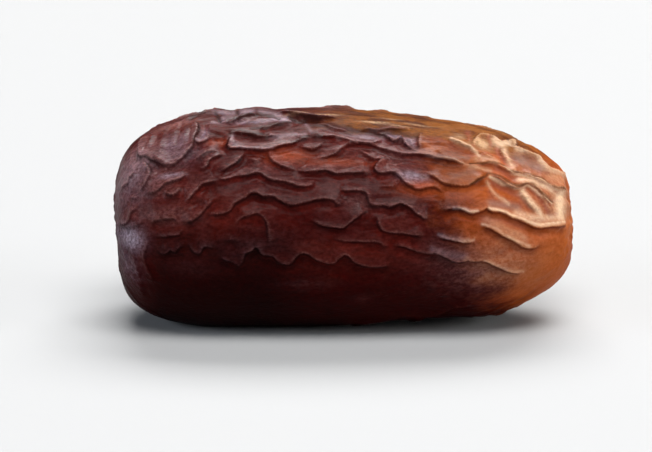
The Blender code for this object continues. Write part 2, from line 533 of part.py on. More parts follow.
def scar_relief(points):
    """The stem's scar and the smaller one at the tip: a hollow, a rim, and puckers that run out from it."""
    relief = np.zeros(len(points))
    x, y, z = points.T
    for side, middle, depth, hollow_radius, height, rim_radius, puckers in SCARS:
        radius = np.hypot(y, z - middle)
        turn = np.arctan2(z - middle, y)
        at_end = smooth_step((side * x - x.max() + SCAR_SPAN) / 2.0)
        hollow = np.exp(-((radius / hollow_radius) ** 2))
        rim = np.exp(-(((radius - rim_radius) / (RIM_SPREAD * rim_radius)) ** 2))
        wave = np.cos(puckers * turn + 2.0 * soft_noise(points * 0.5, puckers))
        spread = np.exp(-(((radius / rim_radius - PUCKER_PLACE) / PUCKER_SPREAD) ** 2))
        relief += at_end * (height * rim + PUCKER_HEIGHT * wave * spread - depth * hollow)
    return relief


def pleated_skin(mesh, angle, view):
    points = mesh_points(mesh)
    normals = mesh_normals(mesh)
    near = near_pleats(view)
    taken = np.vstack([pleat.places for pleat in near])
    relief = pleat_relief(points, near + far_pleats(view, taken))
    relief += crease_relief(points, angle, normals @ -np.array(view.along))
    relief += hollow_relief(points, view) + scar_relief(points)
    relief *= smooth_step((points[:, 2] - REST_CUT) / REST_FADE)
    set_mesh_points(mesh, points + normals * relief[:, None])


def cut_rest_spot(mesh):
    """The underside is cut flat where the fruit lies."""
    bm = bmesh.new()
    bm.from_mesh(mesh)
    everything = bm.verts[:] + bm.edges[:] + bm.faces[:]
    cut = Vector((0.0, 0.0, REST_CUT))
    down = Vector((0.0, 0.0, -1.0))
    bmesh.ops.bisect_plane(bm, geom=everything, dist=SNAP, plane_co=cut, plane_no=down, clear_outer=True)
    rim = [edge for edge in bm.edges if edge.is_boundary]
    for edge in rim:
        for vertex in edge.verts:
            vertex.co.z = REST_CUT
    bmesh.ops.contextual_create(bm, geom=rim)
    bmesh.ops.triangulate(bm, faces=bm.faces)
    bm.to_mesh(mesh)
    bm.free()


def stand_in_metres(mesh):
    """The origin moves under the middle of the fruit, and millimetres become metres."""
    points = mesh_points(mesh)
    low, high = points.min(axis=0), points.max(axis=0)
    points -= ((low[0] + high[0]) / 2, (low[1] + high[1]) / 2, REST_CUT)
    set_mesh_points(mesh, points * METRES)


def skin_material():
    material = bpy.data.materials.new("date_skin")
    material.use_nodes = True
    shader = material.node_tree.nodes["Principled BSDF"]
    shader.inputs["Base Color"].default_value = (0.13, 0.035, 0.02, 1.0)
    shader.inputs["Roughness"].default_value = 0.42
    shader.inputs["Metallic"].default_value = 0.0
    return material


def build():
    clear_scene()
    collection = bpy.data.collections.new(COLLECTION)
    bpy.context.scene.collection.children.link(collection)
    fruit, angle = body_object(SmoothBody(), collection)
    view = NearView(mesh_tree(fruit.data))
    pleated_skin(fruit.data, angle, view)
    # Fewer triangles on the calm skin, with most of those that stay along the pleats
    with_modifier(fruit, "DECIMATE", ratio=KEPT_TRIANGLES / (2 * len(fruit.data.polygons)))
    cut_rest_spot(fruit.data)
    stand_in_metres(fruit.data)
    fruit.data.shade_smooth()
    fruit.data.materials.append(skin_material())


build()
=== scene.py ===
"""The looks of the anbara date: its fine pleated skin, its procedural material, and a plain pale studio.

Lengths are in millimetres until the skin is fitted to the solid's box. The long axis is X, with the dark
blunt tip at -X and the paler stem end at +X. Up is +Z, and the side that faces -Y is called the near side.
"""

import functools
import math

import bmesh
import bpy
import numpy as np
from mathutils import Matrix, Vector
from mathutils.bvhtree import BVHTree

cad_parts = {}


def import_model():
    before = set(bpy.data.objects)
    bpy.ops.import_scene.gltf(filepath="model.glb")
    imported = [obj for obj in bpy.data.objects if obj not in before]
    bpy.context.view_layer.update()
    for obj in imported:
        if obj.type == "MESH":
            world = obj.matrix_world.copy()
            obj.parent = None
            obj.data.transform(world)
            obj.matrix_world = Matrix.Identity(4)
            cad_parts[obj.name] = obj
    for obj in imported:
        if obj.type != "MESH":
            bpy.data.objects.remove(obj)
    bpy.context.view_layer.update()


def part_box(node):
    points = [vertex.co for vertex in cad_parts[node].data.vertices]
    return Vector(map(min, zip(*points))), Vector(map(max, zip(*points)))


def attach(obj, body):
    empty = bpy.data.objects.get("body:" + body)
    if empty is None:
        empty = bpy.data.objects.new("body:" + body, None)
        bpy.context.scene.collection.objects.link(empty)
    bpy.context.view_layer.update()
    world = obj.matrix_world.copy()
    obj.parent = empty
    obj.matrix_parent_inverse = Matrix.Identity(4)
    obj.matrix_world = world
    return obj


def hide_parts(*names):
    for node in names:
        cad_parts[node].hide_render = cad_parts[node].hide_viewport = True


NODE = "date_fruit"
METRES = 0.001  # metres in a millimetre

# Driving dimensions of the fruit, as in its solid
DEPTH_SHARE = 1.03  # width front to back, as a share of the height at the same place
PLEAT_INSET = 0.12  # the pleats' mean height, by which the smooth body under them is smaller
REST_CUT = 0.4  # the underside is pressed flat at this height in the outline
REST_FADE = 1.4  # the pleats fade out over this height above the spot that the fruit lies on
VIEW_ELEVATION = math.radians(15.0)  # the near side's pleats are placed as seen from this high
AXIS_HEIGHT = 12.5
VIEW_DISTANCE = 100.0
BODY_RINGS = 400

# Pleats
LIP_ROUND = 0.03  # how softly a pleat's lip is rounded
LIP_LEAN = 0.2  # how far a lip leans out over the skin below it, as a share of the pleat's height
LIP_LEAN_WIDTH = 0.25
RISER_WIDTH = 0.32  # below its lip a pleat falls away over about this distance
SCOOP = 0.35  # above its lip a pleat falls by this share of its height
SCOOP_WIDTH = 0.4  # over about this distance
REACH_SPAN = 2.7  # and the rest of it ends at this multiple of its reach
FALL_POWER = 1.7
TROUGH_PLACE = 0.8  # from the lip to the bottom of the trough below it
TROUGH_WIDTH = 0.45
TROUGH_SHARE = 0.35  # the trough's depth as a share of the pleat's height
TAPER = 1.5  # a pleat rises from nothing over this length at each end
TAPER_PART = 2.5  # or over its own length divided by this, if that is less
PATH_STEP = 0.2
CRINKLES = ((0.16, 0.55), (0.06, 1.6))  # how far lips stray from their paths, and turns per millimetre
NOISE_GRID = 32
NOISE_GAIN = 1.5
CRINKLE_SHIFT = 31.7  # between the places where the noise is taken for each axis

# Colour fields round a lip, in millimetres toward the raised side: painted highlight and shade, bloom with
# painted sheen, and the low skin's red
FULL_HEIGHT = 0.35  # a pleat this high has its full colours
LIP_HIGHLIGHT_BAND = (0.03, 0.12)  # middle and spread of the painted highlight on the lip
FOLD_BAND = (-0.24, 0.14)  # and of the shade in the fold below it
PLATE_EDGE = 0.1  # the raised skin's bloom and painted sheen begin within this distance of the lip
RECESS_EDGE = 0.3  # and the low skin's red and painted shade within this one
RECESS_REACH = 1.2  # the low skin keeps its red colour and painted shade over about this distance

# Creases between the pleats, which run along the fruit
CREASE_LINES = 40  # round the section
CREASE_HEIGHT = 0.16
CREASE_MEAN = 0.4  # their mean height, as a share of the full one
CREASE_WARP = 2.6  # how far they wander, in lines
CREASE_BROAD = (0.10, 0.25, 0.25)  # turns of the wander per millimetre along each axis
CREASE_LOCAL = (0.32, 0.60, 0.60)  # and of a smaller wander on top of it
CREASE_LOCAL_SHARE = 0.35
CREASE_GROWTH = (0.25, 0.70, 0.70)  # and of the patches that have creases
CREASE_GROWN = 0.55  # share of the skin that has them
CREASE_GROWN_EDGE = 0.5
CREASE_SEED = 21
CREASE_LIP_WIDTH = 0.12
CREASE_FOLD_WIDTH = 0.14
CREASE_COLOUR = 0.64  # how strong their painted highlights and shade are beside a pleat's
CREASE_FOLD_SHADE = 0.6
CREASE_END = 22.0  # they end this far along the fruit, on both sides of its middle
CREASE_FADE = 6.0  # and fade over this length
CREASE_NEAR_SHARE = 0.05  # how much of the creases the near side has, between its own pleats
CREASE_FACING = 0.25  # the near side is where the surface faces the view by more than this
CREASE_DROP = 0.16  # a crease falls away over this share of its line's width

# Wrinkles everywhere: turns per millimetre along and across the fruit, height, and seed
WRINKLES = (
    (0.20, 0.50, 0.13, 41),
    (0.45, 1.10, 0.05, 42),
)
WRINKLE_WARP = 0.9  # how far the wrinkles wander, in their own turns
WRINKLE_WARP_TURNS = 0.5  # how fast they wander, beside their own turns
WRINKLE_NARROW = 1.8
WRINKLE_MEAN = 0.4
WRINKLE_START = 3.0  # the skin is smooth below this height
WRINKLE_RISE = 9.0  # and has its full wrinkles this much higher
# The painted highlight on the wrinkles' ridges
WRINKLE_HIGHLIGHT = 0.15

# Pleats of the far side, top and underside, which wander by a rule
FAR_SEED = 11
FAR_TRIES = 1500
FAR_BOX = ((-25.0, -12.0, 0.0), (25.0, 13.0, 25.0))  # they start within this box
FAR_SPACING = 1.7
FAR_STOP = 0.8
FAR_LENGTHS = (4.0, 18.0)
FAR_HEIGHTS = (0.2, 0.5)
FAR_WAVES = ((0.9, 0.3), (1.8, 0.6))  # least and most radians per millimetre of a path's two waves
FAR_BENDS = (0.4, 0.3)  # how far the waves turn the path, in radians
FAR_SLOPE = 0.2  # the spread of the paths' turn away from the long axis
FAR_REACH = 2.1  # a pleat's reach as a multiple of its height
FAR_END = 21.0  # beyond this place along the fruit they are lower
FAR_END_SHARE = 0.4
FAR_FACING = 0.1  # they start where the surface faces the near side's view by less than this

# Scars of the stem and of the flower: side of the fruit, height of the middle, depth and radius of the
# hollow, height and radius of the rim, and number of puckers round it
SCARS = (
    (1.0, 13.5, 0.90, 1.2, 0.30, 2.2, 11),
    (-1.0, 12.6, 0.35, 0.7, 0.10, 1.4, 8),
)
RIM_SPREAD = 0.35  # the width of the rim as a share of its radius
PUCKER_HEIGHT = 0.12
PUCKER_PLACE = 1.6  # the puckers are strongest at this multiple of the rim's radius
PUCKER_SPREAD = 0.6
PUCKER_STRAY = 2.0  # how far the puckers stray, in radians, and the noise's turns per millimetre
PUCKER_STRAY_TURNS = 0.5
SCAR_SPAN = 8.0  # they are kept within this distance of the end of the fruit
SCAR_FADE = 2.0

# Mesh of the skin
SPHERE_ROUND = 96
SPHERE_LENGTH = 64
BASE_HALVINGS = 2  # how often each side of the sphere's faces is halved for the smooth body
SKIN_HALVINGS = 3  # and for the skin
NEAR_CROWDING = 0.3  # how much closer together the skin's points are on the near side
SKIN_TRIANGLES = 190000

# Side outline from the tip to the stem end, along the fruit and above the surface that it lies on
TIP = (-25.85, 12.6)
STEM = (25.4, 13.5)
UPPER_OUTLINE = (
    TIP, (-25.95, 15.6), (-25.2, 19.0), (-23.2, 21.6), (-19.8, 23.3), (-15.5, 24.45), (-9.0, 24.7),
    (-3.0, 24.9), (3.0, 24.55), (9.0, 23.85), (14.5, 22.95), (19.0, 21.6), (22.6, 19.7), (24.95, 17.5), STEM,
)
LOWER_OUTLINE = (
    TIP, (-25.6, 8.6), (-25.3, 5.4), (-24.1, 2.8), (-21.2, 0.95), (-16.8, -0.1), (-11.0, -0.2), (-4.5, -0.15),
    (1.0, 0.05), (6.0, 0.5), (11.5, 0.85), (16.2, 1.0), (20.3, 2.35), (23.9, 4.6), (25.7, 7.0), (25.9, 9.6),
    STEM,
)

# Pleats of the near side: height, reach over the raised skin, and places along the lip, as seen in the view:
# along the fruit and up the view, with 0 at the surface that it lies on. The raised skin is on the left of
# the way they run.
NEAR_PLEATS = (
    # Round the tip
    (0.35, 0.8, ((-25.3, 15.1), (-25.0, 15.6), (-24.4, 16.1), (-24.1, 16.8), (-23.6, 17.4), (-23.6, 18.2))),
    (0.4, 0.8, ((-23.3, 14.7), (-22.7, 15.7), (-22.3, 16.3), (-21.9, 17.3), (-22.1, 17.9), (-22.9, 18.8))),
    (0.2, 0.5, ((-24.1, 14.9), (-23.8, 14.6), (-23.4, 14.6), (-23.1, 15.0))),
    (0.35, 0.8, ((-25.3, 12.0), (-24.8, 11.7), (-24.2, 11.9), (-23.8, 13.1), (-23.3, 13.5), (-22.9, 14.0))),
    (0.2, 0.6, ((-25.7, 11.6), (-24.8, 11.4), (-23.2, 11.6), (-22.6, 11.9), (-22.0, 12.1))),
    (0.35, 1.0, ((-21.2, 4.8), (-21.6, 5.6), (-22.4, 7.3), (-22.6, 8.3), (-22.3, 9.3), (-22.0, 10.1))),
    (0.2, 0.7, ((-22.7, 3.1), (-22.9, 4.2), (-22.9, 5.5), (-23.3, 6.8), (-23.6, 8.0), (-23.6, 9.5))),
    (0.15, 0.5, ((-24.5, 7.2), (-24.7, 8.2), (-24.7, 9.3))),
    (0.3, 0.6, ((-21.7, 11.0), (-21.5, 11.9), (-20.9, 12.2), (-20.0, 12.35), (-19.0, 12.2), (-18.6, 11.9))),
    (0.35, 0.6, ((-21.6, 10.3), (-21.0, 10.2), (-19.4, 10.4), (-18.7, 10.5), (-17.9, 11.5))),
    # Upper left
    (0.5, 1.2, ((-22.3, 21.7), (-22.8, 20.9), (-23.0, 20.0), (-22.8, 19.3), (-22.0, 19.2), (-21.3, 18.8),
        (-20.2, 18.2), (-19.3, 18.3), (-18.4, 18.8), (-17.7, 19.6), (-17.15, 20.4), (-16.9, 21.2),
        (-16.6, 22.2), (-16.6, 23.2))),
    (0.12, 0.4, ((-22.2, 19.7), (-22.0, 20.8), (-21.5, 22.0))),
    (0.12, 0.4, ((-20.7, 19.5), (-20.6, 20.8), (-20.3, 22.0), (-20.0, 22.8))),
    (0.14, 0.4, ((-19.2, 19.5), (-19.1, 21.0), (-19.2, 22.5))),
    (0.12, 0.4, ((-18.1, 20.0), (-18.0, 21.5), (-17.7, 22.8))),
    (0.2, 0.5, ((-21.6, 19.1), (-21.0, 19.0), (-20.6, 18.65), (-20.1, 18.5), (-19.6, 18.65))),
    (0.4, 0.8, ((-16.7, 21.6), (-16.6, 21.0), (-16.1, 20.75), (-15.6, 20.9), (-15.3, 21.4), (-15.1, 22.0))),
    (0.35, 0.8, ((-16.6, 18.1), (-15.9, 17.9), (-15.5, 18.2), (-15.2, 18.7), (-13.9, 19.3), (-13.2, 19.9))),
    (0.25, 0.6, ((-17.2, 18.4), (-16.3, 19.1), (-15.6, 19.5), (-14.9, 19.7), (-13.6, 19.7))),
    (0.45, 1.0, ((-22.5, 15.4), (-21.8, 15.2), (-21.1, 15.3), (-20.0, 16.2), (-19.2, 16.5), (-18.4, 16.8),
        (-17.4, 17.7))),
    (0.35, 0.7, ((-20.4, 15.4), (-19.9, 15.1), (-19.4, 14.9), (-18.9, 15.1), (-18.3, 16.2))),
    (0.4, 1.0, ((-18.2, 14.3), (-17.5, 14.4), (-17.0, 14.9), (-16.0, 16.1), (-15.2, 16.3), (-14.4, 16.5),
        (-14.0, 16.9))),
    (0.5, 1.1, ((-18.3, 11.7), (-17.6, 11.9), (-17.0, 12.1), (-16.3, 12.6), (-15.3, 13.7), (-14.4, 14.8))),
    (0.4, 0.9, ((-14.2, 17.2), (-13.6, 17.7), (-12.9, 18.1), (-12.2, 18.5), (-11.7, 19.0), (-11.0, 19.9))),
    (0.2, 0.5, ((-11.0, 19.2), (-10.4, 18.8), (-9.8, 18.75), (-9.4, 19.1), (-9.2, 19.6))),
    # Tongues of the lower left
    (0.35, 0.9, ((-21.2, 9.0), (-20.7, 8.6), (-20.3, 8.4), (-19.9, 8.6), (-19.4, 8.8), (-19.0, 8.6),
        (-18.6, 9.0), (-17.7, 9.8))),
    (0.35, 0.9, ((-17.7, 9.8), (-17.0, 8.8), (-16.6, 8.5), (-16.3, 8.4), (-16.0, 8.9), (-15.5, 9.2),
        (-14.8, 9.0), (-14.2, 9.1))),
    (0.4, 1.0, ((-14.5, 7.9), (-13.2, 7.7), (-12.2, 7.2), (-11.8, 7.1), (-11.1, 8.4), (-10.4, 8.8),
        (-9.9, 9.2), (-9.5, 9.0), (-9.2, 8.4), (-7.9, 8.1), (-7.4, 7.6), (-6.8, 7.3), (-6.1, 7.4),
        (-5.0, 8.3), (-4.4, 8.5), (-3.7, 8.3), (-3.2, 7.8), (-2.6, 7.5), (-1.2, 7.3), (-0.7, 7.7),
        (-0.2, 8.1), (0.4, 8.2), (0.9, 7.9), (1.3, 7.5), (2.8, 7.0), (4.6, 7.0), (5.6, 6.8))),
    (0.3, 0.8, ((-12.3, 11.0), (-12.0, 12.0), (-11.4, 12.5), (-10.5, 12.7), (-9.6, 12.8), (-9.0, 12.4),
        (-8.6, 11.8), (-8.4, 11.1), (-8.4, 10.2), (-8.4, 9.0))),
    (0.15, 0.5, ((-13.2, 10.2), (-12.4, 9.9), (-11.5, 9.7))),
    # Middle
    (0.5, 1.2, ((-15.6, 12.8), (-13.6, 12.9), (-12.9, 13.2), (-12.4, 13.9), (-11.0, 14.7), (-10.4, 15.1),
        (-9.8, 15.1), (-9.2, 14.8), (-7.7, 14.7), (-7.3, 14.3), (-6.6, 14.0), (-5.8, 13.85), (-4.2, 14.1),
        (-2.3, 14.5), (-1.2, 14.4), (-0.5, 13.9), (0.2, 13.8))),
    (0.45, 1.1, ((-4.0, 12.2), (-2.4, 11.6), (-0.8, 11.4), (-0.1, 11.4), (0.5, 11.9), (1.8, 12.7),
        (3.1, 13.4))),
    (0.45, 1.0, ((-0.8, 15.4), (0.8, 15.4), (2.5, 15.2), (2.8, 14.8), (3.1, 14.1), (3.5, 13.8), (4.6, 13.7),
        (5.2, 13.6), (6.2, 14.0), (6.8, 13.9), (7.4, 13.6), (9.1, 12.3), (9.8, 12.3))),
    (0.4, 0.9, ((3.4, 12.8), (3.9, 12.3), (4.1, 11.6), (4.4, 11.1), (4.9, 10.8), (6.6, 10.7), (7.4, 10.5),
        (9.4, 10.4))),
    (0.45, 0.8, ((10.2, 10.5), (10.8, 10.2), (12.2, 9.85), (13.8, 9.6), (14.5, 9.7), (14.9, 10.1))),
    (0.3, 0.8, ((-1.5, 10.0), (0.4, 9.8), (2.0, 9.7), (3.9, 9.6), (4.5, 9.3), (5.2, 9.3))),
    (0.4, 1.0, ((5.3, 9.3), (7.0, 9.1), (8.6, 8.5), (9.4, 8.3), (10.3, 8.4), (11.0, 8.3), (12.3, 7.6),
        (13.2, 7.5), (14.0, 7.6), (14.7, 7.5), (15.4, 7.6), (16.2, 7.4), (18.0, 6.6), (20.2, 6.0))),
    (0.35, 0.9, ((-14.2, 17.3), (-14.0, 16.8), (-12.4, 16.9), (-10.9, 17.15), (-10.2, 17.35), (-9.5, 17.35),
        (-8.3, 16.7), (-6.8, 16.4), (-5.2, 15.95), (-4.4, 15.9), (-3.7, 16.1), (-3.1, 17.0))),
    (0.35, 1.0, ((-8.0, 20.0), (-8.3, 19.6), (-8.1, 19.0), (-7.5, 18.4), (-6.8, 18.1), (-5.2, 17.5))),
    (0.4, 0.8, ((-5.2, 18.0), (-5.1, 17.6), (-4.2, 17.5), (-2.0, 17.6), (-0.3, 17.3), (1.3, 17.4),
        (2.8, 17.4), (3.4, 17.6))),
    (0.2, 0.6, ((3.5, 15.9), (4.6, 15.9), (5.5, 15.9), (6.1, 16.3), (6.2, 16.9))),
    (0.55, 1.1, ((5.1, 19.1), (4.4, 18.7), (3.8, 18.2), (3.6, 17.7), (4.0, 17.3), (5.5, 17.4), (6.1, 17.2),
        (6.9, 16.3), (7.5, 15.9), (8.3, 15.6), (9.2, 15.75), (10.0, 15.7), (10.6, 15.6), (11.5, 14.9))),
    # Upper rows
    (0.5, 1.0, ((-12.7, 21.7), (-12.8, 21.1), (-13.05, 20.5), (-12.8, 20.1), (-11.5, 20.1), (-9.0, 19.9),
        (-8.2, 19.9), (-6.9, 20.35), (-6.1, 20.5), (-5.4, 20.85), (-4.2, 21.4), (-4.1, 21.8))),
    (0.45, 0.7, ((-13.2, 21.7), (-12.5, 21.9), (-10.9, 21.8), (-9.3, 21.5), (-8.4, 21.5), (-6.9, 21.7))),
    (0.45, 0.7, ((-10.4, 22.3), (-8.8, 22.4), (-7.4, 22.8), (-6.7, 22.95), (-6.2, 23.2), (-6.0, 23.6))),
    (0.5, 0.6, ((-14.0, 23.2), (-13.4, 23.1), (-12.2, 23.35), (-11.6, 23.7), (-10.1, 23.95), (-9.3, 24.0))),
    (0.5, 0.6, ((-8.0, 24.2), (-5.0, 23.95), (-2.8, 23.6), (-1.8, 23.55), (-0.7, 23.7))),
    (0.3, 0.6, ((-5.2, 20.8), (-4.7, 20.4), (-4.0, 20.15), (-3.3, 20.05), (-2.8, 20.3), (-2.1, 21.2))),
    (0.3, 0.7, ((-3.6, 19.1), (-2.6, 19.05), (-1.7, 19.2), (-1.0, 19.5), (-0.6, 20.0), (0.5, 20.6),
        (1.9, 20.4))),
    (0.4, 0.8, ((-4.2, 21.5), (-1.6, 21.4), (-0.2, 21.2), (1.7, 20.55), (2.8, 20.5), (4.8, 19.9),
        (6.6, 19.4), (9.4, 19.3), (11.4, 18.9), (14.0, 18.3))),
    (0.3, 0.6, ((1.2, 20.1), (1.8, 19.9), (3.1, 19.2), (3.9, 19.0), (4.5, 19.2), (4.9, 19.6))),
    (0.2, 0.4, ((-3.0, 23.0), (-2.0, 22.8), (-1.2, 22.5), (-0.4, 22.2), (1.1, 22.1))),
    (0.25, 0.6, ((1.5, 22.5), (3.4, 22.2), (5.4, 22.4), (7.0, 22.3), (8.0, 22.2))),
    (0.35, 0.6, ((3.5, 22.2), (4.2, 21.9), (4.8, 21.65), (5.2, 21.25), (5.5, 21.05), (5.9, 21.2),
        (6.8, 21.8))),
    (0.3, 0.7, ((0.8, 21.2), (1.4, 20.9), (2.0, 20.6), (2.8, 20.6), (3.6, 20.75), (4.6, 21.35))),
    (0.35, 0.5, ((6.7, 21.7), (6.7, 21.1), (7.0, 20.6), (7.5, 20.1), (8.6, 19.5))),
    (0.35, 0.5, ((9.0, 21.9), (8.6, 21.5), (8.5, 20.9), (8.7, 20.3), (9.0, 19.8))),
    # Right
    (0.45, 1.0, ((9.0, 17.6), (9.8, 17.1), (11.1, 16.2), (11.9, 16.1), (13.6, 15.95), (14.2, 16.1),
        (14.8, 16.6), (16.1, 17.2))),
    (0.35, 0.7, ((16.1, 17.2), (16.8, 17.05), (19.2, 15.95), (20.0, 16.0), (20.8, 16.1), (21.5, 15.8),
        (22.1, 15.3), (23.1, 14.2), (23.6, 14.1))),
    (0.3, 0.7, ((14.7, 18.2), (15.3, 18.5), (17.0, 18.35), (18.5, 17.6), (20.3, 17.3), (22.0, 16.6),
        (23.7, 15.9), (25.2, 15.5))),
    (0.15, 0.4, ((15.1, 19.5), (15.6, 19.5), (16.7, 19.0), (17.3, 18.9))),
    (0.3, 0.6, ((11.2, 21.3), (12.0, 21.25), (13.2, 20.7), (14.3, 20.2), (14.6, 19.8), (15.0, 19.3))),
    (0.35, 0.8, ((25.1, 17.2), (24.3, 17.4), (23.4, 17.7), (22.7, 18.3), (22.1, 19.0), (21.2, 19.4),
        (19.5, 20.2), (19.2, 20.9), (18.6, 20.8), (17.7, 20.8), (16.9, 21.3), (16.0, 21.6), (15.2, 21.4),
        (14.7, 20.6), (14.8, 20.0))),
    (0.2, 0.6, ((17.6, 20.5), (18.0, 19.6), (18.5, 18.8), (19.0, 18.1))),
    (0.25, 0.8, ((19.8, 15.8), (20.3, 14.9), (20.8, 14.1), (21.5, 13.1), (22.0, 12.4))),
    (0.2, 0.6, ((23.6, 12.5), (23.1, 13.5), (22.6, 14.3), (22.0, 15.0))),
    (0.12, 0.4, ((10.3, 20.0), (11.0, 19.6), (11.6, 19.3), (12.1, 19.0))),
    (0.5, 1.0, ((10.4, 13.6), (11.0, 13.3), (12.9, 13.4), (14.3, 12.85), (15.0, 12.9), (16.1, 13.4),
        (16.7, 13.1), (17.5, 13.0), (19.3, 12.3), (20.9, 11.6), (21.6, 11.35), (22.3, 11.35),
        (25.2, 11.6))),
    (0.4, 0.9, ((15.0, 11.7), (16.6, 11.1), (18.0, 10.3), (19.6, 9.5), (20.2, 9.1), (20.9, 9.0),
        (22.4, 9.4))),
    # Low on the right, where the skin is tight
    (0.15, 0.5, ((2.8, 4.0), (3.8, 3.9), (4.6, 3.7))),
    (0.15, 0.5, ((5.0, 4.0), (6.0, 4.2), (6.8, 4.1), (7.0, 3.7))),
    (0.15, 0.5, ((9.0, 4.2), (10.0, 4.4), (11.2, 4.6), (12.3, 4.5))),
    (0.15, 0.5, ((10.5, 3.4), (12.0, 3.8))),
)

# Hollows of the near side, seen in the same view: depth, half width along and across, and the middle
NEAR_HOLLOWS = (
    (0.5, 0.8, 0.6, (-16.4, 13.8)), (0.4, 1.6, 0.8, (-20.0, 11.4)), (0.35, 1.8, 1.5, (18.3, 15.0)),
    (0.3, 1.8, 0.5, (-4.4, 23.3)), (0.4, 0.4, 0.5, (19.1, 20.5)), (0.3, 1.2, 0.6, (-10.6, 21.0)),
    (0.3, 1.0, 0.8, (13.0, 19.8)),
)

# Colour patches of the near side: strength, half width along and across, and the middle
# Bloom of wax on the raised skin, with painted sheen where the light falls on it
BLOOM_AND_SHEEN_PATCHES = (
    (0.9, 4.0, 2.6, (-19.5, 21.0)), (1.0, 2.2, 4.5, (-24.5, 16.5)), (1.0, 5.0, 1.2, (-8.5, 21.0)),
    (0.8, 6.0, 1.0, (-10.0, 23.2)), (0.5, 5.0, 1.6, (1.5, 21.0)), (0.6, 3.0, 1.2, (7.3, 17.0)),
    (0.25, 2.5, 1.5, (12.5, 17.3)), (0.5, 2.5, 1.4, (15.5, 20.3)), (0.85, 3.5, 3.0, (22.0, 17.0)),
    (0.9, 2.5, 2.5, (22.0, 13.5)), (0.55, 3.0, 2.6, (-18.5, 15.5)), (0.2, 4.5, 1.6, (0.5, 15.0)),
    (0.35, 4.0, 2.5, (8.5, 13.5)), (0.6, 3.5, 1.6, (13.0, 9.3)), (0.5, 3.0, 1.8, (18.0, 9.0)),
    (0.25, 6.5, 2.0, (-13.0, 9.8)),
)
# Painted cool highlights, whitish lilac reflections on the wax
COOL_HIGHLIGHT_PATCHES = (
    (0.95, 1.5, 1.4, (-24.2, 10.0)), (0.3, 2.4, 3.5, (-24.0, 17.0)), (0.2, 2.4, 1.4, (-18.5, 19.4)),
    (0.55, 1.3, 2.0, (-24.2, 6.5)), (0.7, 1.2, 0.4, (-7.2, 23.4)), (0.4, 3.0, 0.5, (-10.5, 23.2)),
    (0.35, 1.6, 1.6, (-19.0, 20.7)), (0.45, 1.3, 0.4, (-19.6, 17.0)), (0.4, 0.6, 0.9, (-15.8, 21.8)),
    (0.35, 1.8, 0.6, (2.5, 21.3)), (0.55, 0.7, 0.9, (7.6, 21.0)), (0.5, 0.8, 0.4, (5.6, 21.5)),
    (0.5, 1.5, 0.6, (7.6, 16.9)),
)
# Pale cream skin and wax flecks, with painted highlights on them
CREAM_AND_HIGHLIGHT_PATCHES = (
    (0.9, 1.0, 0.9, (15.6, 20.6)), (0.5, 0.9, 1.6, (24.6, 13.8)), (0.7, 1.7, 0.18, (3.6, 23.1)),
    (0.6, 1.0, 0.15, (5.4, 23.45)), (0.55, 1.2, 0.15, (6.2, 22.6)), (0.65, 1.5, 0.15, (8.8, 22.75)),
    (0.7, 2.6, 0.22, (-3.3, 24.0)), (0.45, 0.6, 0.6, (13.1, 21.5)),
)
# Painted glow of light through the flesh, in the hollows and under the lips
GLOW_PATCHES = (
    (0.6, 2.4, 0.9, (-6.2, 19.2)), (0.35, 4.5, 0.6, (-1.0, 18.5)), (0.42, 1.1, 0.6, (-14.3, 20.8)),
    (0.2, 1.6, 0.9, (-18.6, 22.9)), (0.95, 3.0, 0.9, (9.6, 15.5)), (0.8, 2.5, 0.9, (13.6, 15.3)),
    (0.4, 2.2, 0.7, (11.0, 21.3)), (0.4, 1.5, 0.6, (13.8, 20.0)), (0.5, 1.6, 0.5, (17.6, 17.6)),
    (0.5, 2.2, 0.9, (18.2, 15.4)), (0.45, 3.5, 0.7, (18.0, 12.4)), (0.45, 3.0, 1.0, (18.5, 3.2)),
    (0.6, 2.0, 0.7, (22.6, 10.1)),
)
# Bloom of wax with painted sheen, grown over the plates whether they are raised or not
HAZE_AND_SHEEN_PATCHES = (
    (0.6, 6.0, 3.6, (16.0, 6.0)), (0.6, 3.0, 1.2, (-19.0, 22.9)), (0.3, 4.0, 0.8, (-9.0, 23.6)),
    (0.8, 2.2, 2.6, (-23.4, 18.8)), (0.3, 3.5, 1.0, (-19.5, 12.6)), (0.25, 3.0, 0.8, (-4.5, 4.7)),
    (0.12, 2.5, 1.2, (-17.5, 6.5)), (0.3, 1.2, 0.8, (2.0, 3.0)), (0.25, 2.0, 1.0, (1.8, 13.9)),
    (0.35, 2.6, 2.0, (-20.8, 16.6)), (0.25, 2.5, 1.5, (21.5, 5.0)), (0.4, 2.4, 2.6, (23.4, 14.2)),
    (0.3, 2.5, 0.8, (4.5, 19.4)),
)

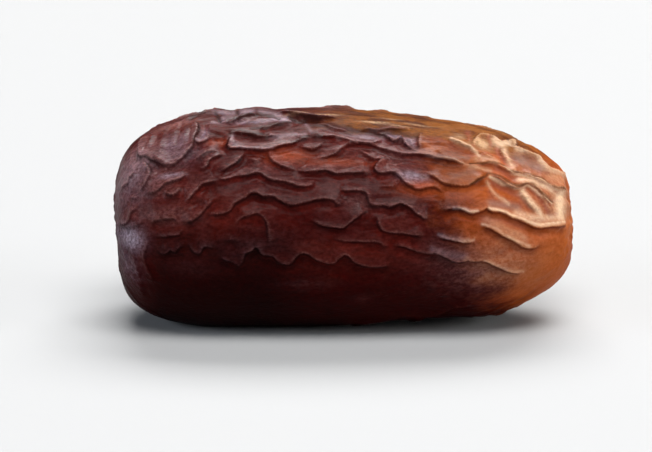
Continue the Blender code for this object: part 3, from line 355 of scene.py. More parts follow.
# Strokes of colour on the near side: strength, half width, and places along the stroke
PALE_HIGHLIGHT_STROKES = (
    # Painted highlights on the thin edges and ridges of the stem end
    (0.8, 0.18, ((12.2, 21.2), (13.2, 20.7), (14.2, 20.2), (14.8, 19.7), (15.2, 19.2))),
    (0.35, 0.35, ((15.0, 18.9), (16.2, 18.9), (17.2, 18.5))),
    (0.7, 0.3, ((17.0, 21.0), (17.8, 20.5), (18.8, 20.6))),
    (0.5, 0.24, ((19.2, 20.9), (19.5, 20.0), (20.4, 19.8), (21.6, 19.3), (22.4, 18.4), (23.0, 17.8),
        (24.2, 17.3), (25.0, 17.0))),
    (0.6, 0.3, ((18.2, 19.9), (18.6, 19.0), (19.0, 18.0))),
    (0.25, 0.5, ((23.3, 17.0), (24.6, 16.5))),
    (0.35, 0.3, ((14.3, 18.0), (15.5, 17.9), (16.5, 17.6))),
    (0.9, 0.15, ((18.2, 17.9), (19.2, 17.3), (20.6, 17.0), (22.0, 16.5), (23.4, 15.8), (25.0, 15.3))),
    (0.7, 0.35, ((19.8, 16.6), (21.0, 16.5), (22.4, 15.9), (23.5, 15.4))),
    (0.9, 0.13, ((16.4, 16.9), (17.4, 16.5), (18.6, 16.0), (19.6, 15.7), (20.8, 15.85), (21.6, 15.4),
        (22.6, 14.5), (23.5, 14.0))),
    (0.85, 0.35, ((20.2, 15.4), (20.9, 14.2), (21.7, 13.1), (22.2, 12.4))),
    (0.45, 0.18, ((16.2, 16.4), (16.9, 15.3), (17.8, 14.5), (18.6, 13.8))),
    (0.9, 0.15, ((16.3, 13.4), (17.2, 13.2), (18.6, 12.75), (20.0, 12.2), (21.0, 11.75), (22.2, 11.6),
        (23.5, 11.7), (24.8, 11.9))),
    (0.6, 0.45, ((19.4, 12.7), (20.6, 12.4), (22.0, 12.2), (24.0, 12.4))),
    (0.8, 0.15, ((12.2, 13.3), (13.4, 13.25), (14.1, 12.95), (15.0, 12.95))),
    (0.95, 0.55, ((24.6, 15.0), (24.5, 13.8), (24.3, 12.4))),
    (0.45, 0.16, ((15.6, 11.6), (17.0, 11.2), (18.0, 10.5), (19.4, 9.7), (20.8, 9.2))),
    (0.2, 0.5, ((16.2, 12.0), (18.2, 11.0), (20.2, 9.9))),
    (0.3, 0.16, ((15.9, 7.6), (17.2, 7.0), (18.4, 6.6), (20.2, 6.2))),
    (0.35, 0.13, ((9.2, 19.2), (11.0, 18.95), (12.8, 18.6), (14.2, 18.2))),
    (0.3, 0.14, ((10.6, 10.4), (11.8, 10.0), (13.2, 9.75), (14.6, 9.85))),
    (0.22, 0.35, ((10.0, 8.8), (12.0, 8.2), (13.8, 7.9))),
    # White wax with painted highlights on the upper rows of the dark end
    (0.6, 0.25, ((-14.6, 24.35), (-13.8, 24.3), (-13.0, 24.2))),
    (0.45, 0.4, ((-13.6, 23.4), (-12.8, 23.9), (-12.5, 24.2))),
    (0.75, 0.4, ((-11.6, 24.1), (-11.0, 24.3), (-10.5, 24.3))),
    (0.55, 0.25, ((-9.5, 24.3), (-8.3, 24.15), (-7.3, 23.9))),
    (0.95, 0.35, ((-8.0, 23.8), (-7.2, 23.4), (-6.5, 23.3))),
    (0.4, 0.16, ((-4.3, 23.0), (-4.1, 22.6), (-3.7, 22.0))),
    (0.45, 0.25, ((-12.6, 21.6), (-12.7, 20.7), (-12.3, 20.4))),
    (0.3, 0.14, ((-12.0, 20.2), (-9.5, 20.1), (-8.0, 20.0))),
    (0.35, 0.3, ((-8.0, 21.4), (-6.6, 21.6), (-5.0, 21.5), (-4.5, 21.6))),
    (0.4, 0.3, ((-9.6, 23.1), (-8.2, 23.2))),
    (0.5, 0.25, ((-16.4, 21.0), (-15.6, 21.1))),
    (0.6, 0.12, ((-14.9, 23.2), (-14.2, 23.1), (-13.9, 23.2))),
)
RED_AND_SHADE_STROKES = (
    # Grooves of the dark end, redder and with painted shade
    (0.6, 0.2, ((-18.9, 20.6), (-18.7, 21.8), (-18.3, 23.2))),
    (0.5, 0.13, ((-21.0, 20.4), (-20.6, 21.4), (-20.1, 22.4))),
    (0.4, 0.12, ((-17.4, 20.6), (-17.3, 22.0), (-17.0, 23.3))),
    (0.5, 0.12, ((-22.4, 19.9), (-22.2, 20.8), (-21.8, 21.7))),
    (0.45, 0.2, ((-14.7, 21.4), (-14.3, 20.6), (-13.8, 20.1))),
    (0.4, 0.15, ((-24.5, 13.0), (-24.0, 14.3), (-23.6, 15.6))),
    # Hollows of the stem end, where the skin is thin and red, with painted shade
    (0.8, 0.28, ((17.3, 20.2), (17.8, 19.2), (18.5, 18.1))),
    (0.6, 0.15, ((16.4, 21.3), (16.6, 20.4))),
    (0.85, 0.3, ((17.2, 17.9), (18.2, 17.3), (19.2, 16.7))),
    (0.85, 0.4, ((17.0, 16.3), (18.4, 15.6), (19.6, 15.0))),
    (0.7, 0.3, ((19.8, 15.2), (20.3, 14.2), (20.9, 13.4))),
    (0.85, 0.25, ((21.4, 15.3), (22.3, 14.2), (23.1, 13.0), (23.3, 12.4))),
    (0.7, 0.35, ((12.3, 20.4), (13.3, 19.9), (14.3, 19.3))),
    (0.6, 0.3, ((14.0, 21.9), (14.2, 21.2))),
    (0.6, 0.15, ((23.5, 15.8), (24.2, 15.2), (24.6, 14.8))),
    (0.9, 0.2, ((25.1, 16.2), (25.2, 15.6))),
    (0.5, 0.5, ((12.0, 14.9), (13.5, 14.6), (14.2, 14.2))),
    (0.6, 0.25, ((16.4, 15.3), (16.9, 14.4))),
    (0.7, 0.35, ((15.6, 12.2), (18.0, 11.9), (20.2, 11.2))),
)
# Painted shade that dulls the stem end toward a dim greyish brown
DUSK_SHADE_STROKES = (
    (0.75, 0.65, ((19.5, 18.9), (21.0, 18.3), (22.3, 17.8))),
    (0.7, 0.55, ((16.5, 14.0), (18.0, 13.7), (19.5, 13.5))),
    (0.5, 0.5, ((12.2, 16.9), (14.5, 17.3))),
    (0.45, 0.4, ((12.6, 19.6), (14.0, 18.9))),
)
GAP_SHADE_STROKES = (
    # Painted shade in the cracks of the stem end
    (0.8, 0.1, ((14.3, 18.35), (15.2, 18.45), (16.6, 18.4), (18.0, 18.05), (19.0, 17.5), (20.6, 17.25),
        (22.2, 16.65), (23.4, 16.0), (25.1, 15.5))),
    (0.85, 0.12, ((14.2, 16.0), (15.0, 16.5), (15.9, 16.9), (16.2, 17.25), (17.2, 17.0), (18.4, 16.4),
        (19.2, 16.0), (20.0, 15.95), (21.2, 16.1), (21.9, 15.5), (22.8, 14.5), (23.6, 14.1))),
    (0.5, 0.07, ((15.2, 19.55), (16.0, 19.5), (16.8, 19.1))),
    # Painted shade in the gaps between the upper rows
    (0.9, 0.25, ((-14.5, 24.2), (-14.2, 23.7), (-14.0, 23.3))),
    (0.8, 0.22, ((-12.1, 24.4), (-11.9, 23.8), (-12.0, 23.4))),
    (0.8, 0.18, ((-17.4, 23.5), (-16.6, 23.9), (-16.0, 24.3), (-15.0, 24.5))),
    (0.9, 0.18, ((-13.1, 23.2), (-12.2, 23.4), (-11.4, 23.75), (-10.4, 23.95), (-9.2, 24.0), (-8.2, 23.85),
        (-7.4, 23.5))),
    (0.9, 0.35, ((-6.0, 23.6), (-5.0, 23.5), (-4.0, 23.6), (-3.0, 23.4))),
    (0.85, 0.18, ((-10.4, 22.25), (-9.0, 22.35), (-8.0, 22.65), (-7.0, 22.9), (-6.2, 23.05))),
    (0.85, 0.22, ((-12.9, 21.85), (-12.0, 22.0), (-11.0, 21.85), (-10.0, 21.6), (-8.5, 21.5))),
    (0.8, 0.15, ((-5.9, 20.7), (-4.8, 21.15), (-4.0, 21.5), (-2.4, 21.5))),
    (0.8, 0.17, ((-16.5, 23.0), (-16.4, 22.2), (-16.7, 21.6), (-16.8, 20.9))),
    (0.5, 0.2, ((-15.2, 22.0), (-14.6, 21.9), (-13.8, 21.6))),
    (0.8, 0.16, ((-13.0, 21.2), (-13.2, 20.5))),
    (0.7, 0.35, ((0.5, 22.2), (3.0, 22.0), (6.0, 21.8), (8.3, 21.5))),
    (0.6, 0.3, ((-3.5, 22.8), (-1.5, 22.7), (0.8, 22.6))),
)
PALE_RISE = 0.05
RED_DEPTH = 0.10
DARK_DEPTH = 0.16
STROKE_FACING = 0.15  # strokes are full where the surface faces the view by more than this

# Bloom of wax with painted sheen outside its patches: on the side, how much more on top where the light
# falls, and the heights where that begins and is full
BLOOM_AND_SHEEN_LEAST = 0.08
BLOOM_AND_SHEEN_ABOVE = 0.42
BLOOM_AND_SHEEN_START = 16.5
BLOOM_AND_SHEEN_RISE = 7.5
LIP_HIGHLIGHT_PLAIN = 0.2  # how strong the painted highlight of a lip without bloom is

# Regions of colour, in millimetres along the fruit, across it or up: each begins at the first place and is
# full at the second
WARM_PLACES = (15.2, 23.8)  # where the dark skin turns amber
WARM_SLANT = 0.4  # and how much sooner it does so for each millimetre of height
WARM_STRAY = 9.0
GOLDEN_NEAR = (-5.2, -3.8)  # the golden strip along the top, a painted glow of light shining through the thin skin
GOLDEN_FAR = (9.0, 4.0)
GOLDEN_STRAY = 5.0
GOLDEN_START = (-6.0, 3.0)
GOLDEN_HEIGHTS = (17.0, 21.0)
# Painted shade of the low side, darker toward the bottom
LOW_SHADE_HEIGHTS = (13.0, 3.0)
MOTTLE_HEIGHTS = (11.0, 7.0)
DIM_PLACES = (-2.0, -10.0)  # painted shade that makes the low skin of the tip nearly black
DIM_TIP = (-23.5, -20.0)
DIM_HEIGHTS = (14.5, 12.0)
TOP_SHADE_PLACES = (9.3, 11.2)  # painted shade on the top of the stem end, which is darker than its side
TOP_SHADE_END = (18.0, 14.5)
TOP_SHADE_HEIGHTS = (16.0, 18.5)
WAX_HEIGHTS = (7.0, 21.0)

# Colours of the skin in two tones, with painted shade in the recess and a painted glow for the golden strip
DARK_SKIN = ((0.026, 0.0016, 0.0012), (0.042, 0.0036, 0.0020))
AMBER_SKIN = ((0.220, 0.038, 0.0035), (0.290, 0.062, 0.008))
RED_SHADED_RECESS = ((0.026, 0.0008, 0.0005), (0.075, 0.0040, 0.0016))
GOLD_GLOW = ((0.048, 0.011, 0.001), (0.12, 0.036, 0.003))
SPECKLE = ((0.68, 0.68, 0.68), (1.30, 1.30, 1.30))
# Colours toward the tip and toward the stem end: painted glow, bloom with painted sheen, thin skin with
# painted shade, wax with painted highlights, the lip's painted highlight, painted shade, and the woody scar
ORANGE_GLOW = ((0.270, 0.046, 0.011), (0.36, 0.078, 0.016))
BLOOM_AND_SHEEN = ((0.138, 0.060, 0.057), (0.27, 0.140, 0.086))
THIN_SKIN_AND_SHADE = ((0.060, 0.008, 0.005), (0.20, 0.048, 0.024))
WAX_AND_HIGHLIGHT = ((0.22, 0.155, 0.175), (0.54, 0.37, 0.24))
LIP_HIGHLIGHT = ((0.22, 0.115, 0.105), (0.55, 0.33, 0.18))
FOLD_SHADE = ((0.26, 0.15, 0.15), (0.40, 0.25, 0.20))
GAP_SHADE = ((0.016, 0.003, 0.002), (0.085, 0.030, 0.012))
LOW_SHADE_TINT = ((0.55, 0.26, 0.26), (0.95, 0.88, 0.85))
WOODY = ((0.055, 0.024, 0.014), (0.240, 0.135, 0.065))
# Single colours, among them painted highlights and painted shade
AMBER_SHADED_RECESS = (0.15, 0.015, 0.001)
COOL_HIGHLIGHT = (0.235, 0.190, 0.235)
CREAM_AND_HIGHLIGHT = (0.42, 0.26, 0.15)
DUSK_SHADE = (0.150, 0.088, 0.072)
MOTTLE = (0.040, 0.0012, 0.0008)
DIM_TINT = (0.44, 0.46, 0.56)
TOP_SHADE_TINT = (0.68, 0.66, 0.63)
SCAR_HOLLOW = (0.016, 0.007, 0.004)

# The studio: each light's place and size in metres, power in watts, and colour
LIGHTS = {
    "key_light": ((0.10, 0.50, 0.75), (0.80, 0.50), 15.0, (1.0, 1.0, 1.0)),
    "front_light": ((0.10, -0.40, 0.85), (0.70, 0.45), 12.0, (1.0, 1.0, 1.0)),
    "right_light": ((0.90, -0.30, 0.30), (0.40, 0.40), 5.5, (1.0, 1.0, 1.0)),
    "left_light": ((-0.90, -0.30, 0.35), (0.40, 0.40), 4.5, (0.80, 0.88, 1.0)),
}
LIGHTS_AIM = Vector((0.0, 0.0, 0.012))
FLOOR_COLOUR = (0.34, 0.34, 0.34, 1.0)
FLOOR_HALF_SIZE = 2.0
WORLD_COLOUR = (0.95, 0.97, 1.0, 1.0)
WORLD_STRENGTH = 0.05

# The camera, and the frame of the photograph in pixels
FRAME_WIDTH = 652
FRAME_HEIGHT = 452
FRUIT_WIDTH = 460  # how much of the frame's width the fruit spans
FRUIT_MIDDLE = (343.5, 213.6)  # where the fruit's middle is
LENS = 500.0  # millimetres
SENSOR = 36.0
CLIP_START = 0.01


def smooth_curve(points, steps=16):
    """A curve through the points, without loops between points that are close together."""
    points = np.array(points, dtype=float)
    before = 2 * points[0] - points[1]
    after = 2 * points[-1] - points[-2]
    points = np.vstack([before, points, after])
    knots = np.concatenate([[0.0], np.cumsum(np.sqrt(np.linalg.norm(np.diff(points, axis=0), axis=1)))])
    curve = []
    for i in range(1, len(points) - 2):
        p0, p1, p2, p3 = points[i - 1 : i + 3]
        t0, t1, t2, t3 = knots[i - 1 : i + 3]
        t = np.linspace(t1, t2, steps, endpoint=False)[:, None]
        a1 = (t1 - t) / (t1 - t0) * p0 + (t - t0) / (t1 - t0) * p1
        a2 = (t2 - t) / (t2 - t1) * p1 + (t - t1) / (t2 - t1) * p2
        a3 = (t3 - t) / (t3 - t2) * p2 + (t - t2) / (t3 - t2) * p3
        b1 = (t2 - t) / (t2 - t0) * a1 + (t - t0) / (t2 - t0) * a2
        b2 = (t3 - t) / (t3 - t1) * a2 + (t - t1) / (t3 - t1) * a3
        curve.extend((t2 - t) / (t2 - t1) * b1 + (t - t1) / (t2 - t1) * b2)
    curve.append(points[-2])
    return np.array(curve)


def even_curve(curve, count):
    """The curve at evenly spaced places along its length."""
    lengths = np.concatenate([[0.0], np.cumsum(np.linalg.norm(np.diff(curve, axis=0), axis=1))])
    places = np.linspace(0.0, lengths[-1], count)
    return np.column_stack([np.interp(places, lengths, column) for column in curve.T])


def smooth_step(value):
    value = np.clip(value, 0.0, 1.0)
    return value * value * (3.0 - 2.0 * value)


def bell(value, middle, spread):
    """1 at the middle, and nearly nothing at twice the spread from it."""
    return np.exp(-(((value - middle) / spread) ** 2))


class SmoothBody:
    """The fruit without its pleats: rings that lean with the outline, each an ellipse."""

    def __init__(self):
        self.shares = np.linspace(0.0, 1.0, BODY_RINGS)
        self.upper = even_curve(smooth_curve(UPPER_OUTLINE), BODY_RINGS)
        self.lower = even_curve(smooth_curve(LOWER_OUTLINE), BODY_RINGS)
        middle = (self.upper + self.lower) / 2
        reach = np.linalg.norm(self.upper - self.lower, axis=1) / 2
        inset = 1.0 - PLEAT_INSET / np.maximum(reach, 1.0)
        self.upper = middle + (self.upper - middle) * inset[:, None]
        self.lower = middle + (self.lower - middle) * inset[:, None]

    def points(self, share, angle):
        """Places on the body: the share runs from tip to stem end, the angle from the near side over it."""
        upper = np.column_stack([np.interp(share, self.shares, column) for column in self.upper.T])
        lower = np.column_stack([np.interp(share, self.shares, column) for column in self.lower.T])
        middle = (upper + lower) / 2
        half = (upper - lower) / 2
        width = np.linalg.norm(half, axis=1) * DEPTH_SHARE
        side = middle + half * np.sin(angle)[:, None]
        return np.column_stack([side[:, 0], -width * np.cos(angle), side[:, 1]])


def with_modifier(obj, kind, **settings):
    """The object's mesh is replaced by what the modifier makes of it."""
    modifier = obj.modifiers.new(kind, kind)
    for name, value in settings.items():
        setattr(modifier, name, value)
    made = bpy.data.meshes.new_from_object(obj.evaluated_get(bpy.context.evaluated_depsgraph_get()))
    obj.modifiers.clear()
    old = obj.data
    obj.data = made
    bpy.data.meshes.remove(old)


def body_object(body, name, halvings, crowding=0.0):
    """A sphere whose poles are the tip and the stem end, drawn out into the smooth body."""
    mesh = bpy.data.meshes.new(name)
    bm = bmesh.new()
    bmesh.ops.create_uvsphere(bm, u_segments=SPHERE_ROUND, v_segments=SPHERE_LENGTH, radius=1.0)
    bm.to_mesh(mesh)
    bm.free()
    obj = bpy.data.objects.new(name, mesh)
    bpy.context.scene.collection.objects.link(obj)
    with_modifier(obj, "SUBSURF", subdivision_type="SIMPLE", levels=halvings, render_levels=halvings)
    mesh = obj.data
    places = mesh_points(mesh)
    places /= np.linalg.norm(places, axis=1)[:, None]
    share = np.arccos(np.clip(places[:, 2], -1.0, 1.0)) / math.pi
    angle = np.arctan2(places[:, 1], places[:, 0])
    angle -= crowding * np.sin(angle)
    set_mesh_points(mesh, body.points(share, angle))
    return obj, angle


def mesh_points(mesh):
    values = np.empty(len(mesh.vertices) * 3)
    mesh.vertices.foreach_get("co", values)
    return values.reshape(-1, 3)


def set_mesh_points(mesh, points):
    mesh.vertices.foreach_set("co", points.ravel())
    mesh.update()


def mesh_normals(mesh):
    values = np.empty(len(mesh.vertices) * 3)
    mesh.vertex_normals.foreach_get("vector", values)
    return values.reshape(-1, 3)


def mesh_tree(mesh):
    corners = [vertex.co.copy() for vertex in mesh.vertices]
    faces = [tuple(face.vertices) for face in mesh.polygons]
    return BVHTree.FromPolygons(corners, faces)


class NearView:
    """The long-lens view of the near side, through which its pleats are laid on the body."""

    def __init__(self, tree):
        self.tree = tree
        self.along = Vector((0.0, math.cos(VIEW_ELEVATION), -math.sin(VIEW_ELEVATION)))
        self.up = Vector((0.0, math.sin(VIEW_ELEVATION), math.cos(VIEW_ELEVATION)))
        self.middle = Vector((0.0, 0.0, AXIS_HEIGHT))

    def land(self, x, z):
        """The place and normal where a line of sight meets the body, or else the nearest ones."""
        aim = self.middle + Vector((x, 0.0, 0.0)) + self.up * (z - AXIS_HEIGHT)
        place, normal, _, _ = self.tree.ray_cast(aim - self.along * VIEW_DISTANCE, self.along)
        if place is None:
            place, normal, _, _ = self.tree.find_nearest(aim)
        return place, normal


def nearest_place(points, places, stride=4):
    """The index of the place nearest to each point, found among every fourth place first."""
    coarse = places[::stride]
    apart = ((points[:, None, :] - coarse[None, :, :]) ** 2).sum(axis=2)
    first = np.argmin(apart, axis=1) * stride
    around = np.clip(first[:, None] + np.arange(1 - stride, stride), 0, len(places) - 1)
    apart = ((points[:, None, :] - places[around]) ** 2).sum(axis=2)
    return around[np.arange(len(points)), np.argmin(apart, axis=1)]


class Pleat:
    """A lip over the surface: evenly spaced places, normals, ways to the raised side, and heights."""

    def __init__(self, places, normals, height, reach):
        self.places = places
        self.normals = normals
        ways = np.gradient(places, axis=0)
        left = np.cross(normals, ways)
        self.left = left / np.maximum(np.linalg.norm(left, axis=1), 1e-9)[:, None]
        steps = np.linalg.norm(np.diff(places, axis=0), axis=1)
        run = np.concatenate([[0.0], np.cumsum(steps)])
        taper = min(TAPER, run[-1] / TAPER_PART)
        self.heights = height * smooth_step(run / taper) * smooth_step((run[-1] - run) / taper)
        self.reach = reach


def near_pleats(view):
    pleats = []
    for height, reach, seen in NEAR_PLEATS:
        curve = smooth_curve(seen)
        length = np.linalg.norm(np.diff(curve, axis=0), axis=1).sum()
        curve = even_curve(curve, max(int(length / PATH_STEP), 4))
        landed = [view.land(x, z) for x, z in curve]
        places = np.array([place for place, _ in landed])
        normals = np.array([normal for _, normal in landed])
        pleats.append(Pleat(places, normals, height, reach))
    return pleats


def far_pleats(view, taken):
    """Pleats that wander lengthwise over the surface that the near view doesn't show."""
    rng = np.random.default_rng(FAR_SEED)
    toward_view = -np.array(view.along)
    pleats = []
    for _ in range(FAR_TRIES):
        start = Vector(rng.uniform(*FAR_BOX))
        length = rng.uniform(*FAR_LENGTHS)
        height = rng.uniform(*FAR_HEIGHTS)
        phases = rng.uniform(0.0, 2 * math.pi, 2)
        waves = rng.uniform(*FAR_WAVES)
        slope = rng.normal(0.0, FAR_SLOPE)
        place, normal, _, _ = view.tree.find_nearest(start)
        places = [np.array(place)]
        normals = [np.array(normal)]
        if normals[0] @ toward_view > FAR_FACING:
            continue
        if np.linalg.norm(taken - places[0], axis=1).min() < FAR_SPACING:
            continue
        way_along = 1.0 if normals[0][1] < 0 else -1.0
        while len(places) * PATH_STEP < length:
            run = len(places) * PATH_STEP
            bend = slope
            for size, turns, phase in zip(FAR_BENDS, waves, phases):
                bend += size * math.sin(turns * run + phase)
            ahead = np.array([way_along, 0.0, 0.0])
            ahead -= normals[-1] * (ahead @ normals[-1])
            ahead /= np.linalg.norm(ahead) + 1e-9
            aside = np.cross(normals[-1], ahead)
            step = ahead * math.cos(bend) + aside * math.sin(bend)
            place, normal, _, _ = view.tree.find_nearest(Vector(places[-1] + step * PATH_STEP))
            place = np.array(place)
            if np.linalg.norm(taken - place, axis=1).min() < FAR_STOP:
                break
            places.append(place)
            normals.append(np.array(normal))
        if max(abs(places[0][0]), abs(places[-1][0])) > FAR_END:
            height *= FAR_END_SHARE
        if len(places) * PATH_STEP < FAR_LENGTHS[0] / 2:
            continue
        taken = np.vstack([taken, places])
        pleats.append(Pleat(np.array(places), np.array(normals), height, height * FAR_REACH))
    return pleats


def soft_noise(points, seed):
    """Smooth noise between about -1 and 1 at points whose whole numbers are the noise's grid."""
    rng = np.random.default_rng(seed)
    slopes = rng.normal(0.0, 1.0, (NOISE_GRID, NOISE_GRID, NOISE_GRID, 3)).astype(np.float32)
    slopes /= np.linalg.norm(slopes, axis=3)[..., None]
    cell = np.floor(points).astype(int)
    share = (points - cell).astype(np.float32)
    eased = share**3 * (share * (share * 6.0 - 15.0) + 10.0)
    result = np.zeros(len(points), dtype=np.float32)
    for corner in range(8):
        step = np.array([corner & 1, corner >> 1 & 1, corner >> 2 & 1])
        weight = np.prod(np.where(step, eased, 1.0 - eased), axis=1)
        i, j, k = ((cell + step) % NOISE_GRID).T
        result += weight * ((share - step) * slopes[i, j, k]).sum(axis=1)
    return NOISE_GAIN * result


class Skin:
    """What the pleats do to points: how far each is raised and pushed aside, and how near a lip it lies."""

    def __init__(self, points):
        self.smooth_points = points
        stray = np.zeros_like(points)
        for seed, (size, turns) in enumerate(CRINKLES):
            for axis in range(3):
                stray[:, axis] += size * soft_noise(points * turns + CRINKLE_SHIFT * axis, 100 * seed + axis)
        self.points = points + stray
        self.aside = np.zeros((len(points), 3))
        self.relief, self.lip, self.fold, self.plate, self.recess, self.scar = np.zeros((6, len(points)))

    def add_pleats(self, pleats):
        for pleat in pleats:
            margin = max(REACH_SPAN * pleat.reach, 1.0)
            low = pleat.places.min(axis=0) - margin
            high = pleat.places.max(axis=0) + margin
            close = np.nonzero(np.all((self.points > low) & (self.points < high), axis=1))[0]
            if len(close):
                self.add_pleat(close, pleat)

    def add_pleat(self, close, pleat):
        points = self.points[close]
        nearest = nearest_place(points, pleat.places)
        apart = points - pleat.places[nearest]
        normal = pleat.normals[nearest]
        flat = apart - normal * (apart * normal).sum(axis=1)[:, None]
        side = np.where((flat * pleat.left[nearest]).sum(axis=1) >= 0.0, 1.0, -1.0)
        away = side * np.linalg.norm(flat, axis=1)
        height = pleat.heights[nearest]
        above = np.maximum(away, 0.0)
        from_lip = np.hypot(away, LIP_ROUND) - LIP_ROUND
        fall = np.clip(1.0 - above / (REACH_SPAN * pleat.reach), 0.0, 1.0) ** FALL_POWER
        scoop = 1.0 - SCOOP * (1.0 - np.exp(-from_lip / SCOOP_WIDTH))
        rise = np.where(away > 0.0, fall * scoop, np.exp(-from_lip / RISER_WIDTH))
        self.relief[close] += height * (rise - TROUGH_SHARE * bell(away, -TROUGH_PLACE, TROUGH_WIDTH))
        lean = height * LIP_LEAN * bell(away, 0.0, LIP_LEAN_WIDTH)
        self.aside[close] -= pleat.left[nearest] * lean[:, None]
        # Colour fields: a painted highlight on the lip, painted shade in the fold below it, the raised skin
        # for bloom and painted sheen, and the low skin's red with painted shade
        strength = np.minimum(height / FULL_HEIGHT, 1.0)
        self.raise_field(self.lip, close, strength * bell(away, *LIP_HIGHLIGHT_BAND))
        self.raise_field(self.fold, close, strength * bell(away, *FOLD_BAND))
        raised = smooth_step((away + PLATE_EDGE) / (2 * PLATE_EDGE)) * np.exp(-above / pleat.reach)
        self.raise_field(self.plate, close, strength * raised)
        below = smooth_step(-away / RECESS_EDGE) * np.exp(np.minimum(away, 0.0) / RECESS_REACH)
        self.raise_field(self.recess, close, strength * below)

    def raise_field(self, field, close, values):
        field[close] = np.maximum(field[close], values)

    def add_creases(self, angle, facing):
        """Fine pleats in lines along the fruit, which fold over downward on both sides of the top."""
        down = np.arccos(np.clip(np.sin(angle), -1.0, 1.0)) / (2 * math.pi)
        points = self.smooth_points
        broad = soft_noise(points * CREASE_BROAD, CREASE_SEED)
        local = soft_noise(points * CREASE_LOCAL, CREASE_SEED + 100)
        line = CREASE_LINES * down + CREASE_WARP * (broad + CREASE_LOCAL_SHARE * local)
        place = line - np.floor(line)
        fall = 1.0 - smooth_step((place - 1.0 + CREASE_DROP) / CREASE_DROP)
        grown = soft_noise(points * CREASE_GROWTH, CREASE_SEED + 200)
        grown = smooth_step((grown + 2.0 * CREASE_GROWN - 1.0) / CREASE_GROWN_EDGE + 0.5)
        ends = smooth_step((CREASE_END - np.abs(points[:, 0])) / CREASE_FADE)
        ends *= 1.0 - (1.0 - CREASE_NEAR_SHARE) * smooth_step(facing / CREASE_FACING)
        self.relief += CREASE_HEIGHT * grown * ends * (place * fall - CREASE_MEAN)
        # Painted highlights on the creases' lips and painted shade in their folds
        strength = CREASE_COLOUR * grown * ends
        self.lip = np.maximum(self.lip, strength * bell(place, 1.0 - CREASE_DROP, CREASE_LIP_WIDTH))
        fold = CREASE_FOLD_SHADE * strength * bell(place, 0.0, CREASE_FOLD_WIDTH)
        self.fold = np.maximum(self.fold, fold)

    def add_wrinkles(self):
        points = self.smooth_points
        for along, across, height, seed in WRINKLES:
            turns = points * (along, across, across)
            slow = turns * WRINKLE_WARP_TURNS
            for axis in range(3):
                turns[:, axis] += WRINKLE_WARP * soft_noise(slow, seed + 10 + axis)
            ridge = np.clip(1.0 - WRINKLE_NARROW * np.abs(soft_noise(turns, seed)), 0.0, 1.0)
            strong = smooth_step((points[:, 2] - WRINKLE_START) / WRINKLE_RISE)
            self.relief += height * strong * (ridge - WRINKLE_MEAN)
            # Painted highlight on the wrinkles' ridges
            self.lip = np.maximum(self.lip, WRINKLE_HIGHLIGHT * strong * ridge**4)

    def add_scars(self):
        x, y, z = self.smooth_points.T
        for side, middle, depth, hollow_radius, height, rim_radius, puckers in SCARS:
            radius = np.hypot(y, z - middle)
            turn = np.arctan2(z - middle, y)
            at_end = smooth_step((side * x - x.max() + SCAR_SPAN) / SCAR_FADE)
            hollow = bell(radius, 0.0, hollow_radius)
            rim = bell(radius, rim_radius, RIM_SPREAD * rim_radius)
            stray = PUCKER_STRAY * soft_noise(self.smooth_points * PUCKER_STRAY_TURNS, puckers)
            wave = np.cos(puckers * turn + stray)
            spread = bell(radius / rim_radius, PUCKER_PLACE, PUCKER_SPREAD)
            self.relief += at_end * (height * rim + PUCKER_HEIGHT * wave * spread - depth * hollow)
            self.scar = np.maximum(self.scar, at_end * hollow)

    def add_hollows(self, view):
        for depth, half_along, half_across, seen in NEAR_HOLLOWS:
            self.relief -= depth * self.patch(view, half_along, half_across, seen)

    def patch(self, view, half_along, half_across, seen):
        """A soft round patch on the near side: 1 at its middle and nothing beyond twice its half widths."""
        place, normal = view.land(*seen)
        across = np.array(normal.cross(Vector((1.0, 0.0, 0.0))).normalized())
        apart = self.points - np.array(place)
        along_share = apart[:, 0] / half_along
        across_share = (apart @ across) / half_across
        through = (apart @ np.array(normal)) / (half_along + half_across)
        return np.exp(-(along_share**2) - across_share**2 - through**2)

    def patches(self, view, patches):
        share = np.zeros(len(self.points))
        for strength, half_along, half_across, seen in patches:
            share = np.maximum(share, strength * self.patch(view, half_along, half_across, seen))
        return share

    def strokes(self, view, facing, strokes):
        """Soft lines on the near side: 1 along their middles and nothing beyond twice their half widths."""
        share = np.zeros(len(self.points))
        height = (self.points - np.array(view.middle)) @ np.array(view.up) + AXIS_HEIGHT
        seen = np.column_stack([self.points[:, 0], height])
        for strength, half_width, places in strokes:
            curve = smooth_curve(places)
            length = np.linalg.norm(np.diff(curve, axis=0), axis=1).sum()
            curve = even_curve(curve, max(int(length / PATH_STEP), 4) * 2)
            margin = 3.0 * half_width
            inside = (seen > curve.min(axis=0) - margin) & (seen < curve.max(axis=0) + margin)
            close = np.nonzero(inside.all(axis=1) & (facing > 0.0))[0]
            if not len(close):
                continue
            apart = np.linalg.norm(seen[close] - curve[nearest_place(seen[close], curve)], axis=1)
            value = strength * bell(apart, 0.0, half_width) * smooth_step(facing[close] / STROKE_FACING)
            share[close] = np.maximum(share[close], value)
        return share


def fit_to_solid(mesh):
    """The finished skin takes the solid's box, in metres."""
    points = mesh_points(mesh)
    low, high = points.min(axis=0), points.max(axis=0)
    solid_low, solid_high = (np.array(corner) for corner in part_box(NODE))
    share = (points - low) / (high - low)
    set_mesh_points(mesh, solid_low + share * (solid_high - solid_low))


